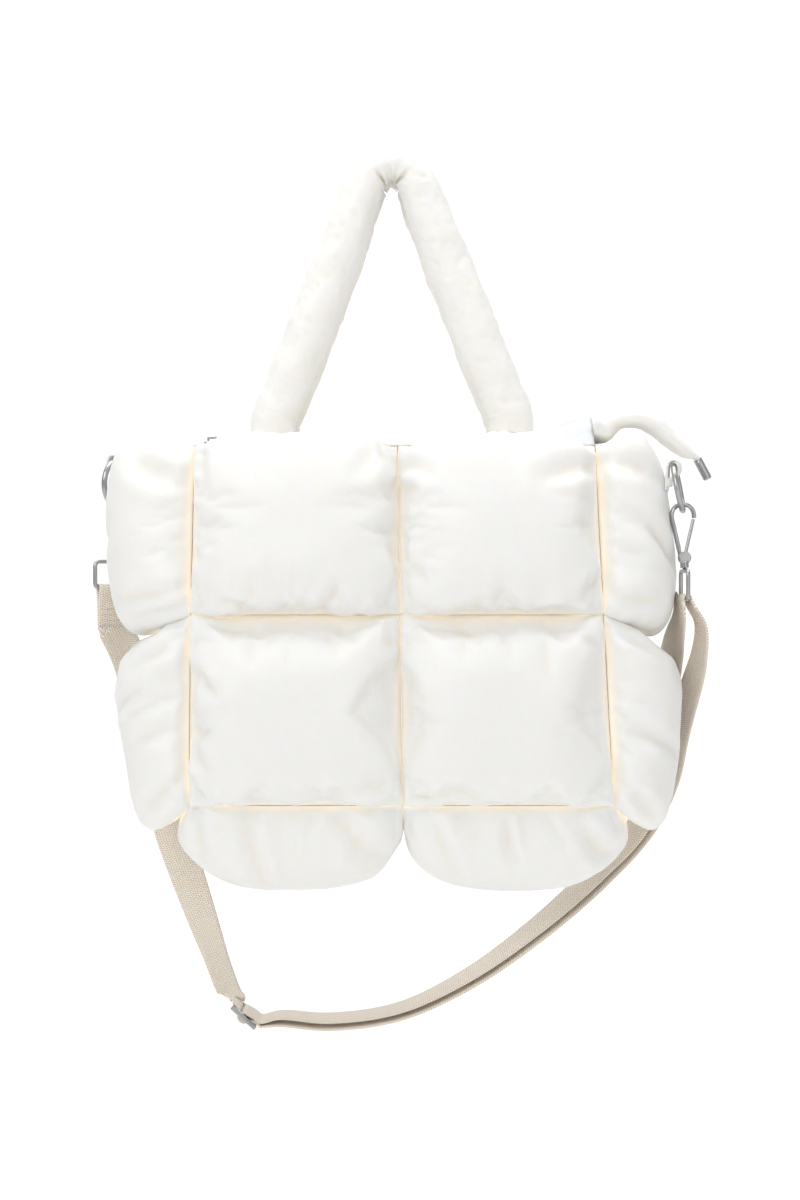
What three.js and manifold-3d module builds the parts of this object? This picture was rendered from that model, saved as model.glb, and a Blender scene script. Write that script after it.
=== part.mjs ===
// Puffer tote bag, hanging by its two padded handles with its shoulder strap below it.
// Fourteen stuffed chambers are sewn edge to edge round an open inside: four in front, four
// behind, two on each side and two underneath. A zip closes the top and runs out into a tail.
// Millimetres: +X to the right as seen from the front, -Y to the front, +Z up.
// The origin is the inner fold of the handles, where a peg would hold the bag.

import * as THREE from "three";
import Module from "manifold-3d";
import { mergeVertices } from "three/addons/utils/BufferGeometryUtils.js";

const wasm = await Module();
wasm.setup();

// Driving dimensions

const gap = 0.3; // clearance between pieces that touch

const handleDrop = 176; // inner fold of the handles down to the rim's crest
const handleSpread = 81; // middle of the bag to the foot of a handle's leg
const handleWidth = 30; // across a leg, seen from the front
const handleDepth = 24; // front to back through a leg

const bodyHeight = 312; // rim's crest down to the bottom
const bodyDepth = 150; // crest of the front chambers to crest of the back ones
const panelWidth = 274; // between the two side seams of the front panel
const panelLoft = 27; // how far a panel's chamber stands over its seams
const sideReach = 58; // how far the sides stand out from the side seams
const sideLoft = 31; // how far a side's chamber stands over its own seams
const sideFullness = 18; // how far a side swells forwards and backwards
const baseFullness = 12; // how far the base swells forwards and backwards
const baseSag = 14; // how far the base's cloth hangs below its seams
const liningSwell = 6; // how far a chamber swells inwards
const rimRise = 30; // pull of a top chamber upwards at the rim's seam
const waistSag = 6; // pull downwards at the seams below it
const baseRise = 36; // pull downwards at the ends of the base

const panelThick = 1.6; // cloth strips beside the zip
const tapeWidth = 11;
const tapeThick = 1;
const chainWidth = 6;
const chainThick = 2.6;
const zipLift = 19; // how far the zip climbs towards its tail
const tailHeight = 14;
const tailLength = 76; // end of the zip to the tail's tip
const tailDrop = 29;
const capRadius = 3.1;
const capLength = 16;
const capWall = 0.6;
const capMouth = 2.5; // how far the tail's tip goes into the cap
const capLean = 28; // degrees from upright

const strapWidth = 25;
const strapThick = 1.3;
const strapDrop = 298; // right loop's lower bar down to the strap's lowest point
const strapHalfSpan = 205; // middle of the bag to where the strap hangs on either side
const sewnTail = 27; // strap's end folded over the left loop

const ringRadius = 15.5; // to the middle of its wire
const ringWire = 2; // radius of the wire
const tabWidth = 16;
const tabThick = 2;
const hookWidth = 19;
const hookHeight = 44;
const hookWire = 1.6; // half width of the hook's bar, in its plane
const hookThick = 4.4; // through the hook
const loopWire = 1.6;
const loopHeight = 22;
const sliderLength = 22; // along the strap
const sliderWire = 1.5;
const sliderTilt = 42; // degrees below level

// Small helpers

const rad = THREE.MathUtils.degToRad;
const vec = (x, y, z) => new THREE.Vector3(x, y, z);
const mix = THREE.MathUtils.lerp;
const up = vec(0, 0, 1);
const back = vec(0, 1, 0);

const cloth = new THREE.MeshStandardMaterial({ color: 0xf3f0ea, roughness: 0.55 });
const lighterCloth = new THREE.MeshStandardMaterial({ color: 0xf0ebe2, roughness: 0.6 });
const webbing = new THREE.MeshStandardMaterial({ color: 0xe4d3b8, roughness: 0.85 });
const metal = new THREE.MeshStandardMaterial({ color: 0x8d8d90, roughness: 0.28, metalness: 1 });

const bag = new THREE.Group();
const strapGear = new THREE.Group();
bag.add(strapGear);

function addMesh(name, geometry, material, parent = bag) {
  const mesh = new THREE.Mesh(geometry, material);
  mesh.name = name;
  parent.add(mesh);
  return mesh;
}

function geometryFrom(points, triangles) {
  const geometry = new THREE.BufferGeometry();
  const coordinates = points.flatMap((p) => [p.x, p.y, p.z]);
  geometry.setAttribute("position", new THREE.Float32BufferAttribute(coordinates, 3));
  geometry.setIndex(facingOut(points, triangles).flat());
  return geometry;
}

// The same triangles, turned round where they enclose a negative volume
function facingOut(points, triangles) {
  let volume = 0;
  for (const [a, b, c] of triangles) {
    volume += points[a].dot(points[b].clone().cross(points[c]));
  }
  return volume > 0 ? triangles : triangles.map(([a, b, c]) => [a, c, b]);
}

// A solid through rings of equally many points, with flat ends or closed on itself
function solidFromRings(rings, closed = false) {
  const sides = rings[0].length;
  const points = rings.flat();
  const triangles = [];
  const spans = closed ? rings.length : rings.length - 1;
  for (let i = 0; i < spans; i++) {
    const here = i * sides;
    const next = ((i + 1) % rings.length) * sides;
    for (let j = 0; j < sides; j++) {
      const k = (j + 1) % sides;
      triangles.push([here + j, here + k, next + j], [here + k, next + k, next + j]);
    }
  }
  if (!closed) {
    const last = (rings.length - 1) * sides;
    for (let j = 1; j < sides - 1; j++) {
      triangles.push([0, j + 1, j], [last, last + j, last + j + 1]);
    }
  }
  return geometryFrom(points, triangles);
}

function toManifold(geometry) {
  const bare = geometry.clone();
  bare.deleteAttribute("normal");
  bare.deleteAttribute("uv");
  const merged = mergeVertices(bare, 1e-4);
  return new wasm.Manifold(new wasm.Mesh({
    numProp: 3,
    vertProperties: merged.attributes.position.array,
    triVerts: new Uint32Array(merged.index.array),
  }));
}

function fromManifold(solid) {
  const mesh = solid.getMesh();
  const geometry = new THREE.BufferGeometry();
  geometry.setAttribute("position", new THREE.BufferAttribute(mesh.vertProperties, 3));
  geometry.setIndex(new THREE.BufferAttribute(mesh.triVerts, 1));
  return geometry;
}

const joined = (...parts) => parts.map(toManifold).reduce((all, part) => all.add(part));

// A round bar between two points
function bar(from, to, radius, sides = 8) {
  const along = to.clone().sub(from);
  const geometry = new THREE.CylinderGeometry(radius, radius, along.length(), sides);
  const turn = new THREE.Quaternion().setFromUnitVectors(back, along.clone().normalize());
  geometry.applyQuaternion(turn);
  return geometry.translate(...from.clone().lerp(to, 0.5).toArray());
}

function tangentAt(points, i, closed = false) {
  const count = points.length;
  const before = closed ? points[(i + count - 1) % count] : points[Math.max(i - 1, 0)];
  const after = closed ? points[(i + 1) % count] : points[Math.min(i + 1, count - 1)];
  return after.clone().sub(before).normalize();
}

// A bar of oval section along a flat path; facing is the direction that the path lies square to
function ovalBar(points, facing, half, sides, closed = false) {
  const rings = points.map((point, i) => {
    const across = tangentAt(points, i, closed).cross(facing).normalize();
    const size = typeof half === "function" ? half(i / (points.length - 1)) : half;
    return Array.from({ length: sides }, (_, j) => {
      const angle = (2 * Math.PI * (j + 0.5)) / sides;
      return point.clone()
        .addScaledVector(across, size.across * Math.cos(angle))
        .addScaledVector(facing, size.through * Math.sin(angle));
    });
  });
  return solidFromRings(rings, closed);
}

// A flat band; each section has a place and the direction of the band's width there
function band(sections, width, thick) {
  const places = sections.map((section) => section.place);
  const rings = sections.map((section, i) => {
    const along = tangentAt(places, i);
    const across = section.across.clone().addScaledVector(along, -section.across.dot(along)).normalize();
    const out = along.clone().cross(across);
    const corner = (side, face) => section.place.clone()
      .addScaledVector(across, (side * width) / 2)
      .addScaledVector(out, (face * thick) / 2);
    return [corner(1, 1), corner(1, -1), corner(-1, -1), corner(-1, 1)];
  });
  return solidFromRings(rings);
}

// Places a mesh by its origin and two of its own axes
function place(mesh, origin, xAxis, zAxis) {
  const yAxis = zAxis.clone().cross(xAxis).normalize();
  const squareX = yAxis.clone().cross(zAxis).normalize();
  mesh.position.copy(origin);
  mesh.quaternion.setFromRotationMatrix(new THREE.Matrix4().makeBasis(squareX, yAxis, zAxis));
  return mesh;
}

// Seams
// Each row of seam corners: the left, centre and right seams as shares of the panel's width,
// down as a share of the body's height, out as one of its depth.

const seamRows = {
  rim: { left: -0.485, centre: 0.015, right: 0.5, down: 0.029, out: 0.24 },
  waist: { left: -0.489, centre: 0.02, right: 0.515, down: 0.393, out: 0.333 },
  base: { left: -0.493, centre: 0.027, right: 0.54, down: 0.8, out: 0.333 },
};

// Between its two corners a side's seam bows outwards by a share of the sides' reach, and dips
// by a share of the body's height.

const sideSeams = {
  left: {
    rim: { bow: 0.58, dip: 0.017 },
    waist: { bow: 0.48, dip: 0.042 },
    base: { bow: 0.2, dip: 0.045 },
  },
  right: {
    rim: { bow: 0.29, dip: -0.01 },
    waist: { bow: 0.46, dip: 0.042 },
    base: { bow: 0.24, dip: 0.045 },
  },
};

const levelOf = (row) => -handleDrop - bodyHeight * seamRows[row].down;

function seamCorner(row, column, face) {
  const seam = seamRows[row];
  return vec(panelWidth * seam[column], face * bodyDepth * seam.out, levelOf(row));
}

// Puffs
// u and v run from 0 to 1 between opposite seams. The swell is steep at a seam and flat
// between seams, and near a seam the chamber stands out in that seam's own direction.

const swell = (t, flatness) => Math.sqrt(Math.max(0, 1 - Math.abs(2 * t - 1) ** flatness));
const nearEdge = (t) => Math.max(0, 1 - 3 * t) ** 2;
const cosineStep = (i, count) => (1 - Math.cos((Math.PI * i) / count)) / 2;

function puffPoint(puff, u, v) {
  const near = { u0: nearEdge(u), u1: nearEdge(1 - u), v0: nearEdge(v), v1: nearEdge(1 - v) };
  const inU = 1 - near.u0 - near.u1;
  const inV = 1 - near.v0 - near.v1;
  const rise = swell(u, puff.flatU) * swell(v, puff.flatV);
  return puff.seat(u, v)
    .addScaledVector(puff.liftU0, near.u0 * rise)
    .addScaledVector(puff.liftU1, near.u1 * rise)
    .addScaledVector(puff.liftV0, inU * near.v0 * rise)
    .addScaledVector(puff.liftV1, inU * near.v1 * rise)
    .addScaledVector(puff.lift, inU * inV * rise)
    .addScaledVector(puff.fullness, -Math.sin(2 * Math.PI * u) * swell(v, puff.flatV));
}

function puffGeometry(puff, steps) {
  const points = [];
  const triangles = [];
  const outer = [];
  const inner = [];
  for (let i = 0; i <= steps; i++) {
    outer.push([]);
    inner.push([]);
    for (let j = 0; j <= steps; j++) {
      const u = cosineStep(i, steps);
      const v = cosineStep(j, steps);
      const onSeam = i === 0 || j === 0 || i === steps || j === steps;
      outer[i].push(points.length);
      points.push(onSeam ? puff.seat(u, v) : puffPoint(puff, u, v));
      if (onSeam) {
        inner[i].push(outer[i][j]);
        continue;
      }
      inner[i].push(points.length);
      const inward = Math.sin(Math.PI * u) * Math.sin(Math.PI * v);
      points.push(puff.seat(u, v).addScaledVector(puff.inward, inward));
    }
  }
  for (let i = 0; i < steps; i++) {
    for (let j = 0; j < steps; j++) {
      for (const [grid, turned] of [[outer, false], [inner, true]]) {
        const [a, b, c, d] = [grid[i][j], grid[i + 1][j], grid[i + 1][j + 1], grid[i][j + 1]];
        const pair = (i < steps / 2) === (j < steps / 2) ? [[a, b, c], [a, c, d]] : [[a, b, d], [b, c, d]];
        triangles.push(...pair.map(([p, q, r]) => (turned ? [p, r, q] : [p, q, r])));
      }
    }
  }
  return geometryFrom(points, triangles);
}

// The part of 0 to 1 that stays half a gap clear of both seams of a chamber
const clearOf = (t, span) => mix(gap / 2 / span, 1 - gap / 2 / span, t);

function panelPuff(face, rows, columns) {
  const corner = (row, column) => seamCorner(row, column, face);
  const height = levelOf(rows[0]) - levelOf(rows[1]);
  const edges = {
    rim: vec(0, face * panelLoft * 0.4, rimRise),
    waist: vec(0, face * panelLoft, -waistSag),
    base: vec(0, face * panelLoft * 0.9, -waistSag),
  };
  const sideEdge = vec(0, face * panelLoft * 0.85, 0);
  return {
    flatU: 4,
    flatV: 4,
    lift: vec(0, face * panelLoft, 0),
    liftU0: sideEdge,
    liftU1: sideEdge,
    liftV0: edges[rows[0]],
    liftV1: edges[rows[1]],
    fullness: vec(0, 0, 0),
    inward: vec(0, -face * liningSwell, 0),
    seat(u, v) {
      const across = clearOf(u, panelWidth / 2);
      const top = corner(rows[0], columns[0]).lerp(corner(rows[0], columns[1]), across);
      const bottom = corner(rows[1], columns[0]).lerp(corner(rows[1], columns[1]), across);
      return top.lerp(bottom, clearOf(v, height));
    },
  };
}

// A place on a row's seam round a side, from the front corner to the back one
function sideSeam(row, column, u) {
  const side = column === "left" ? -1 : 1;
  const { bow, dip } = sideSeams[column][row];
  const arch = Math.sin(Math.PI * u);
  const place = seamCorner(row, column, -1).lerp(seamCorner(row, column, 1), clearOf(u, bodyDepth / 2));
  place.x += side * sideReach * bow * arch;
  place.z -= bodyHeight * dip * arch;
  return place;
}

function sidePuff(side, rows) {
  const column = side < 0 ? "left" : "right";
  const height = levelOf(rows[0]) - levelOf(rows[1]);
  const edges = {
    rim: vec(side * sideLoft * 0.9, 0, rimRise * 0.8),
    waist: vec(side * sideLoft * 0.8, 0, -waistSag),
    base: vec(side * sideLoft * 1.1, 0, -baseRise * 0.5),
  };
  const alongRow = (row, u) => sideSeam(row, column, u);
  return {
    flatU: 3,
    flatV: 4.4,
    lift: vec(side * sideLoft, 0, 0),
    liftU0: vec(0, -panelLoft * 0.8, 0),
    liftU1: vec(0, panelLoft * 0.8, 0),
    liftV0: edges[rows[0]],
    liftV1: edges[rows[1]],
    fullness: vec(0, sideFullness, 0),
    inward: vec(-side * liningSwell * 0.7, 0, 0),
    seat(u, v) {
      const place = alongRow(rows[0], u).lerp(alongRow(rows[1], u), clearOf(v, height));
      place.x += (side * gap) / 2;
      return place;
    },
  };
}

function basePuff(columns) {
  const depthBelow = bodyHeight * (1 - seamRows.base.down) - baseSag;
  const end = vec(0, 0, -baseRise);
  const edges = { left: end, centre: vec(0, 0, -depthBelow * 0.9), right: end };
  const edge = (column, u) => {
    if (column !== "centre") return sideSeam("base", column, u);
    const place = seamCorner("base", column, -1).lerp(seamCorner("base", column, 1), clearOf(u, bodyDepth / 2));
    place.z -= baseSag * Math.sin(Math.PI * u);
    return place;
  };
  return {
    flatU: 2.8,
    flatV: 3.4,
    lift: vec(0, 0, -depthBelow),
    liftU0: vec(0, -panelLoft * 0.6, -waistSag * 0.7),
    liftU1: vec(0, panelLoft * 0.6, -waistSag * 0.7),
    liftV0: edges[columns[0]],
    liftV1: edges[columns[1]],
    fullness: vec(0, baseFullness, 0),
    inward: vec(0, 0, liningSwell),
    seat(u, v) {
      const place = edge(columns[0], u).lerp(edge(columns[1], u), clearOf(v, panelWidth / 2));
      place.z -= gap / 2;
      return place;
    },
  };
}

const puffs = {};
const faceSteps = { front: 10, back: 8 };
for (const [face, sign] of [["front", -1], ["back", 1]]) {
  for (const [level, rows] of [["upper", ["rim", "waist"]], ["lower", ["waist", "base"]]]) {
    for (const [hand, columns] of [["left", ["left", "centre"]], ["right", ["centre", "right"]]]) {
      const name = `${face}_puff_${level}_${hand}`;
      puffs[name] = panelPuff(sign, rows, columns);
      addMesh(name, puffGeometry(puffs[name], faceSteps[face]), cloth);
    }
  }
}
for (const [hand, side] of [["left", -1], ["right", 1]]) {
  for (const [level, rows] of [["upper", ["rim", "waist"]], ["lower", ["waist", "base"]]]) {
    const name = `side_puff_${hand}_${level}`;
    puffs[name] = sidePuff(side, rows);
    addMesh(name, puffGeometry(puffs[name], 10), cloth);
  }
}
for (const [hand, columns] of [["left", ["left", "centre"]], ["right", ["centre", "right"]]]) {
  const name = `base_puff_${hand}`;
  puffs[name] = basePuff(columns);
  addMesh(name, puffGeometry(puffs[name], 10), cloth);
}

// Top panels, zip and tail
// The zip line climbs to the right, where it leaves the bag over the side's top.

const rimHalfDepth = bodyDepth * seamRows.rim.out;
const rimLevel = levelOf("rim");
const rightSeam = panelWidth * seamRows.rim.right;
const climbStart = 0.51 * rightSeam;
const zipLine = (x) => rimLevel + panelThick * 1.2 + zipLift * THREE.MathUtils.smoothstep(x, climbStart, rightSeam);

// Where the rim's front seam lies at x, past the side seam as well
function rimEdge(x) {
  const hand = x < 0 ? "left" : "right";
  const corner = seamCorner("rim", hand, -1);
  const { bow, dip } = sideSeams[hand].rim;
  const arch = Math.min(1, Math.max(0, Math.abs(x - corner.x) * Math.sign(Math.abs(x) - Math.abs(corner.x)) / (sideReach * bow)));
  return { y: corner.y * (1 - (2 * Math.asin(arch)) / Math.PI), z: corner.z - bodyHeight * dip * arch };
}

const leftSeam = panelWidth * seamRows.rim.left;
const stripLeft = leftSeam - sideReach * sideSeams.left.rim.bow * 0.7;
const tapeInner = chainWidth / 2 + gap;
const stripInner = tapeInner + tapeWidth + gap;
const stripOuter = (x) => rimEdge(x).y + gap * 1.5;
const stripSteps = 14;

// A flat strip along the zip, given its two edges at x as [y, z]
function zipStrip(left, right, outerEdge, innerEdge, thick) {
  const rings = Array.from({ length: stripSteps + 1 }, (_, i) => {
    const x = mix(left, right, i / stripSteps);
    const [outerY, outerZ] = outerEdge(x);
    const [innerY, innerZ] = innerEdge(x);
    return [
      vec(x, outerY, outerZ + thick / 2),
      vec(x, outerY, outerZ - thick / 2),
      vec(x, innerY, innerZ - thick / 2),
      vec(x, innerY, innerZ + thick / 2),
    ];
  });
  return solidFromRings(rings);
}

const zipRight = rightSeam - gap;
const chainLeft = stripLeft + gap;
for (const [face, sign] of [["front", 1], ["back", -1]]) {
  const outer = (x) => [sign * stripOuter(x), rimEdge(x).z + panelThick / 2];
  const inner = (x) => [-sign * stripInner, zipLine(x)];
  addMesh(`top_panel_${face}`, zipStrip(stripLeft, zipRight, outer, inner, panelThick), cloth);
  const tapeFar = (x) => [-sign * (tapeInner + tapeWidth), zipLine(x)];
  const tapeNear = (x) => [-sign * tapeInner, zipLine(x)];
  addMesh(`zip_tape_${face}`, zipStrip(chainLeft, zipRight, tapeFar, tapeNear, tapeThick), lighterCloth);
}
const chainEdge = (side) => (x) => [(side * chainWidth) / 2, zipLine(x)];
addMesh("zip_chain", zipStrip(chainLeft, zipRight, chainEdge(-1), chainEdge(1), chainThick), lighterCloth);

const zipSliderSize = { x: 11, y: 8, z: 2.6 };
const zipSliderX = leftSeam + 8;
const zipSliderTop = zipLine(zipSliderX) + chainThick / 2 + gap + zipSliderSize.z;
const zipSliderMesh = addMesh("zip_slider", sliderBody(), metal);
zipSliderMesh.position.set(zipSliderX, 0, zipSliderTop - zipSliderSize.z);

// The slider's upper plate with the bridge that holds the puller
function sliderBody() {
  const { x, y, z } = zipSliderSize;
  const plate = new THREE.BoxGeometry(x, y, z).translate(0, 0, z / 2);
  const bridge = new THREE.BoxGeometry(x * 0.6, 1.6, 1.6).translate(0, 0, z + 2.9);
  const legs = [-1, 1].map((end) => new THREE.BoxGeometry(1.4, 1.6, 3.2).translate(end * x * 0.24, 0, z + 1.4));
  return fromManifold(joined(plate, bridge, ...legs));
}

const pullerSize = { x: 26, y: 7, z: 1.4 };
const pullerEye = 2.2;
const puller = toManifold(new THREE.BoxGeometry(pullerSize.x, pullerSize.y, pullerSize.z))
  .subtract(toManifold(new THREE.BoxGeometry(pullerEye, pullerSize.y * 0.5, pullerSize.z * 2)
    .translate(-pullerSize.x / 2 + pullerEye, 0, 0)));
const pullerMesh = addMesh("zip_puller", fromManifold(puller), metal);
// Its eye is round the bridge's right-hand leg, and it lies back along the zip
pullerMesh.position.set(
  zipSliderX + zipSliderSize.x * 0.24 + pullerSize.x / 2 - pullerEye,
  0,
  zipSliderTop + pullerSize.z / 2 + gap,
);

// The tail's sections: along as a share of its length, down as a share of its drop from the end
// of the zip, high as a share of its half height, wide as a share of the rim's half depth.

const tailSections = [
  { along: 0, down: 0.25, high: 1.4, wide: 0.92 },
  { along: 0.09, down: 0.25, high: 1.38, wide: 0.7 },
  { along: 0.18, down: 0.09, high: 1.15, wide: 0.4 },
  { along: 0.28, down: -0.03, high: 0.89, wide: 0.38 },
  { along: 0.43, down: -0.03, high: 0.89, wide: 0.4 },
  { along: 0.58, down: 0.11, high: 0.97, wide: 0.36 },
  { along: 0.72, down: 0.42, high: 0.88, wide: 0.29 },
  { along: 0.87, down: 0.74, high: 0.62, wide: 0.19 },
];
const tailStart = zipRight + gap;
const tailTop = zipLine(rightSeam);
const tailTip = vec(tailStart + tailLength, 0, tailTop - tailDrop);
const capAim = vec(Math.sin(rad(capLean)), 0, -Math.cos(rad(capLean)));
const tipRadius = capRadius - capWall - gap;
const tailPath = tailSections.map((row) =>
  vec(tailStart + tailLength * row.along, 0, tailTop - tailDrop * row.down));
tailPath.push(tailTip.clone().addScaledVector(capAim, -capMouth * 1.5), tailTip);
const tailHalf = tailSections.map((row) => ({ across: (tailHeight / 2) * row.high, through: rimHalfDepth * row.wide }));
tailHalf.push({ across: tipRadius, through: tipRadius }, { across: tipRadius, through: tipRadius });
const tailSize = (t) => tailHalf[Math.round(t * (tailHalf.length - 1))];
addMesh("zip_tail", ovalBar(tailPath, back, tailSize, 12), cloth);

const capProfile = [
  [0, 0], [capRadius - 0.5, 0], [capRadius, 0.5], [capRadius, capLength], [capRadius - capWall, capLength],
  [capRadius - capWall, capLength - capMouth - gap], [0, capLength - capMouth - gap],
].map(([r, h]) => new THREE.Vector2(r, h));
const capGeometry = new THREE.LatheGeometry(capProfile, 14).rotateX(Math.PI / 2);
const capEnd = tailTip.clone().addScaledVector(capAim, capLength - capMouth);
place(addMesh("zip_tail_cap", capGeometry, metal), capEnd, back, capAim.clone().negate());

// Handles
// Along a handle from its left foot to its right one: across as a share of the spread, up as a
// share of the drop, out from its place at the fold to that at the foot, wide and deep as shares.

const handleSections = [
  { across: -0.985, up: -0.93, out: 0.95, wide: 1, deep: 0.94 },
  { across: -0.8, up: -0.72, out: 0.8, wide: 1.02, deep: 1 },
  { across: -0.62, up: -0.5, out: 0.6, wide: 1.03, deep: 1 },
  { across: -0.41, up: -0.25, out: 0.35, wide: 1, deep: 1 },
  { across: -0.255, up: -0.045, out: 0.1, wide: 0.92, deep: 1 },
  { across: -0.155, up: 0.036, out: 0, wide: 0.82, deep: 1 },
  { across: 0, up: 0.065, out: 0, wide: 0.77, deep: 1 },
  { across: 0.13, up: 0.046, out: 0, wide: 0.8, deep: 1 },
  { across: 0.215, up: -0.02, out: 0.1, wide: 0.9, deep: 1 },
  { across: 0.4, up: -0.24, out: 0.35, wide: 1, deep: 1 },
  { across: 0.62, up: -0.49, out: 0.6, wide: 1.03, deep: 1 },
  { across: 0.81, up: -0.72, out: 0.8, wide: 1.02, deep: 1 },
  { across: 0.995, up: -0.93, out: 0.95, wide: 1, deep: 0.94 },
];
const handleFootOut = rimHalfDepth - handleDepth / 2 - gap * 5;
const handleFoldOut = handleDepth / 2 + gap;
const footDeep = 0.9;

// The highest point of the cloth and zip under a leg's foot
function footLevel(x) {
  const reach = handleWidth / 2;
  const levels = [x - reach, x + reach].flatMap((edge) => [zipLine(edge) + chainThick / 2, rimEdge(edge).z + panelThick]);
  return Math.max(...levels) + gap;
}

function handleGeometry(face) {
  const rows = [...handleSections];
  const foot = (side) => ({ across: side, level: footLevel(side * handleSpread), out: 1, wide: 1, deep: footDeep });
  rows.unshift(foot(-1));
  rows.push(foot(1));
  const places = rows.map((row) => vec(
    handleSpread * row.across,
    face * mix(handleFoldOut, handleFootOut, row.out),
    row.level ?? handleDrop * row.up,
  ));
  const curve = new THREE.CatmullRomCurve3(places, false, "centripetal");
  const steps = 26;
  const points = Array.from({ length: steps + 1 }, (_, i) => curve.getPoint(i / steps));
  const size = (t) => {
    const at = t * (rows.length - 1);
    const low = rows[Math.floor(at)];
    const high = rows[Math.ceil(at)];
    return {
      across: (handleWidth / 2) * mix(low.wide, high.wide, at % 1),
      through: (handleDepth / 2) * mix(low.deep, high.deep, at % 1),
    };
  };
  const geometry = ovalBar(points, back, size, 10);
  // The feet are cut level
  const position = geometry.attributes.position;
  const sides = 10;
  for (let j = 0; j < sides; j++) {
    position.setZ(j, places[0].z);
    position.setZ(steps * sides + j, places.at(-1).z);
  }
  return geometry;
}
for (const [face, sign] of [["front", -1], ["back", 1]]) {
  addMesh(`handle_${face}`, handleGeometry(sign), cloth);
}

// Strap gear: a tab sewn to the side, a ring, a snap hook and a loop for the strap

// A point of a puff's outer face and the direction that the face looks in
function faceSeat(puff, u, v) {
  const step = 0.01;
  const point = puffPoint(puff, u, v);
  const overU = puffPoint(puff, u + step, v).sub(puffPoint(puff, u - step, v));
  const overV = puffPoint(puff, u, v + step).sub(puffPoint(puff, u, v - step));
  const normal = overU.cross(overV).normalize();
  if (normal.dot(puff.lift) < 0) normal.negate();
  return { point, normal };
}

const arcPoints = (count, from, to, at) =>
  Array.from({ length: count + 1 }, (_, i) => at(rad(mix(from, to, i / count))));

const eyeRadius = ringWire + 3 * gap + tabThick / 2;
const tabRoom = 5; // the eye's straight sides, so that the ring's curve clears them
const tabFoot = tabRoom * 3.4;

// Local axes: X outwards from the side, Z up along it; the origin is the middle of the ring's wire
function tabGeometry() {
  const inner = -eyeRadius;
  const closing = inner + tabThick + gap;
  const path = [
    vec(inner, 0, -tabFoot),
    vec(inner, 0, -tabRoom * 1.8),
    ...arcPoints(6, 180, 0, (a) => vec(eyeRadius * Math.cos(a), 0, eyeRadius * Math.sin(a))),
    vec(eyeRadius, 0, -tabRoom * 0.7),
    vec(mix(closing, eyeRadius, 0.55), 0, -tabRoom * 1.4),
    vec(closing, 0, -tabRoom * 2),
    vec(closing, 0, -tabRoom * 2.8),
  ];
  return band(path.map((place) => ({ place, across: back })), tabWidth, tabThick);
}

// Local axes of the hook: X across it, Y through it, Z up; the origin is the middle of its top bar
const bowRadius = hookWidth / 2 - hookWire;
const bossRadius = 4.4;
const bossX = 1.2;
const bossZ = -(hookHeight - hookWire - bossRadius - 1.6);
const neckRadius = 3;
const neckEnd = bossZ - bossRadius - 2.6;
const stemRadius = 1.4;
const socketTop = bossZ - bossRadius + 1;
const gateThick = 2.2;
const gateHalf = 1.3;
const knuckleRadius = 2.4;
const pinRadius = 1;

function hookGeometry() {
  const bow = arcPoints(12, -12, 190, (a) =>
    vec(bowRadius * Math.cos(a), 0, -bowRadius + bowRadius * Math.sin(a)));
  const foot = vec(bossX - bossRadius + hookWire * 1.2, 0, bossZ);
  const leg = [0.3, 0.65, 1].map((t) => bow.at(-1).clone().lerp(foot, t));
  const body = ovalBar([...bow, ...leg], back, { across: hookWire, through: hookThick / 2 }, 8);
  const boss = bar(vec(bossX, -hookThick / 2, bossZ), vec(bossX, hookThick / 2, bossZ), bossRadius, 16);
  const neck = bar(vec(bossX, 0, neckEnd), vec(bossX, 0, bossZ - bossRadius * 0.6), neckRadius, 12);
  const pin = bar(vec(bossX, -hookThick * 0.45, bossZ), vec(bossX, hookThick * 0.45, bossZ), pinRadius, 10);
  const slotHalf = knuckleRadius + gap;
  const slot = new THREE.BoxGeometry(bossRadius + slotHalf + 4, gateThick + 2 * gap, slotHalf + bossRadius + 4)
    .translate(bossX + (bossRadius - slotHalf + 4) / 2, 0, bossZ + (bossRadius - slotHalf + 4) / 2);
  const socket = bar(vec(bossX, 0, neckEnd - 1), vec(bossX, 0, socketTop), stemRadius + gap, 10);
  const solid = joined(body, boss, neck).subtract(toManifold(slot)).subtract(toManifold(socket));
  return fromManifold(solid.add(toManifold(pin)));
}

// Local axes as the hook's, with the origin on the hinge
function gateGeometry() {
  const nose = vec(bowRadius * Math.cos(rad(-12)), 0, -bowRadius + bowRadius * Math.sin(rad(-12)));
  const tip = nose.sub(vec(bossX, 0, bossZ)).add(vec(-0.35, 0, -2 * gap));
  const root = tip.clone().normalize().multiplyScalar(pinRadius + gap + 0.6);
  const blade = ovalBar([root, tip.clone().multiplyScalar(0.5), tip], back, { across: gateHalf, through: gateThick / 2 }, 8);
  const knuckle = bar(vec(0, -gateThick / 2, 0), vec(0, gateThick / 2, 0), knuckleRadius, 14);
  const hole = bar(vec(0, -gateThick, 0), vec(0, gateThick, 0), pinRadius + gap, 12);
  return fromManifold(joined(blade, knuckle).subtract(toManifold(hole)));
}

// The loop's origin is the middle of its top bar
const loopHalf = strapWidth / 2 + loopWire + 2 * gap;
const loopDrop = loopHeight - 2 * loopWire;
function loopGeometry() {
  const corner = 3;
  const turn = (x, z, from) => arcPoints(3, from, from + 90, (a) =>
    vec(x + corner * Math.cos(a), 0, z + corner * Math.sin(a)));
  const [x, top, bottom] = [loopHalf - corner, -corner, -loopDrop + corner];
  const path = [...turn(x, top, 0), ...turn(-x, top, 90), ...turn(-x, bottom, 180), ...turn(x, bottom, 270)];
  const frame = ovalBar(path, back, { across: loopWire, through: loopWire }, 8, true);
  const stem = bar(vec(0, 0, 0), vec(0, 0, socketTop - neckEnd + loopWire), stemRadius, 10);
  return fromManifold(joined(frame, stem));
}

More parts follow.
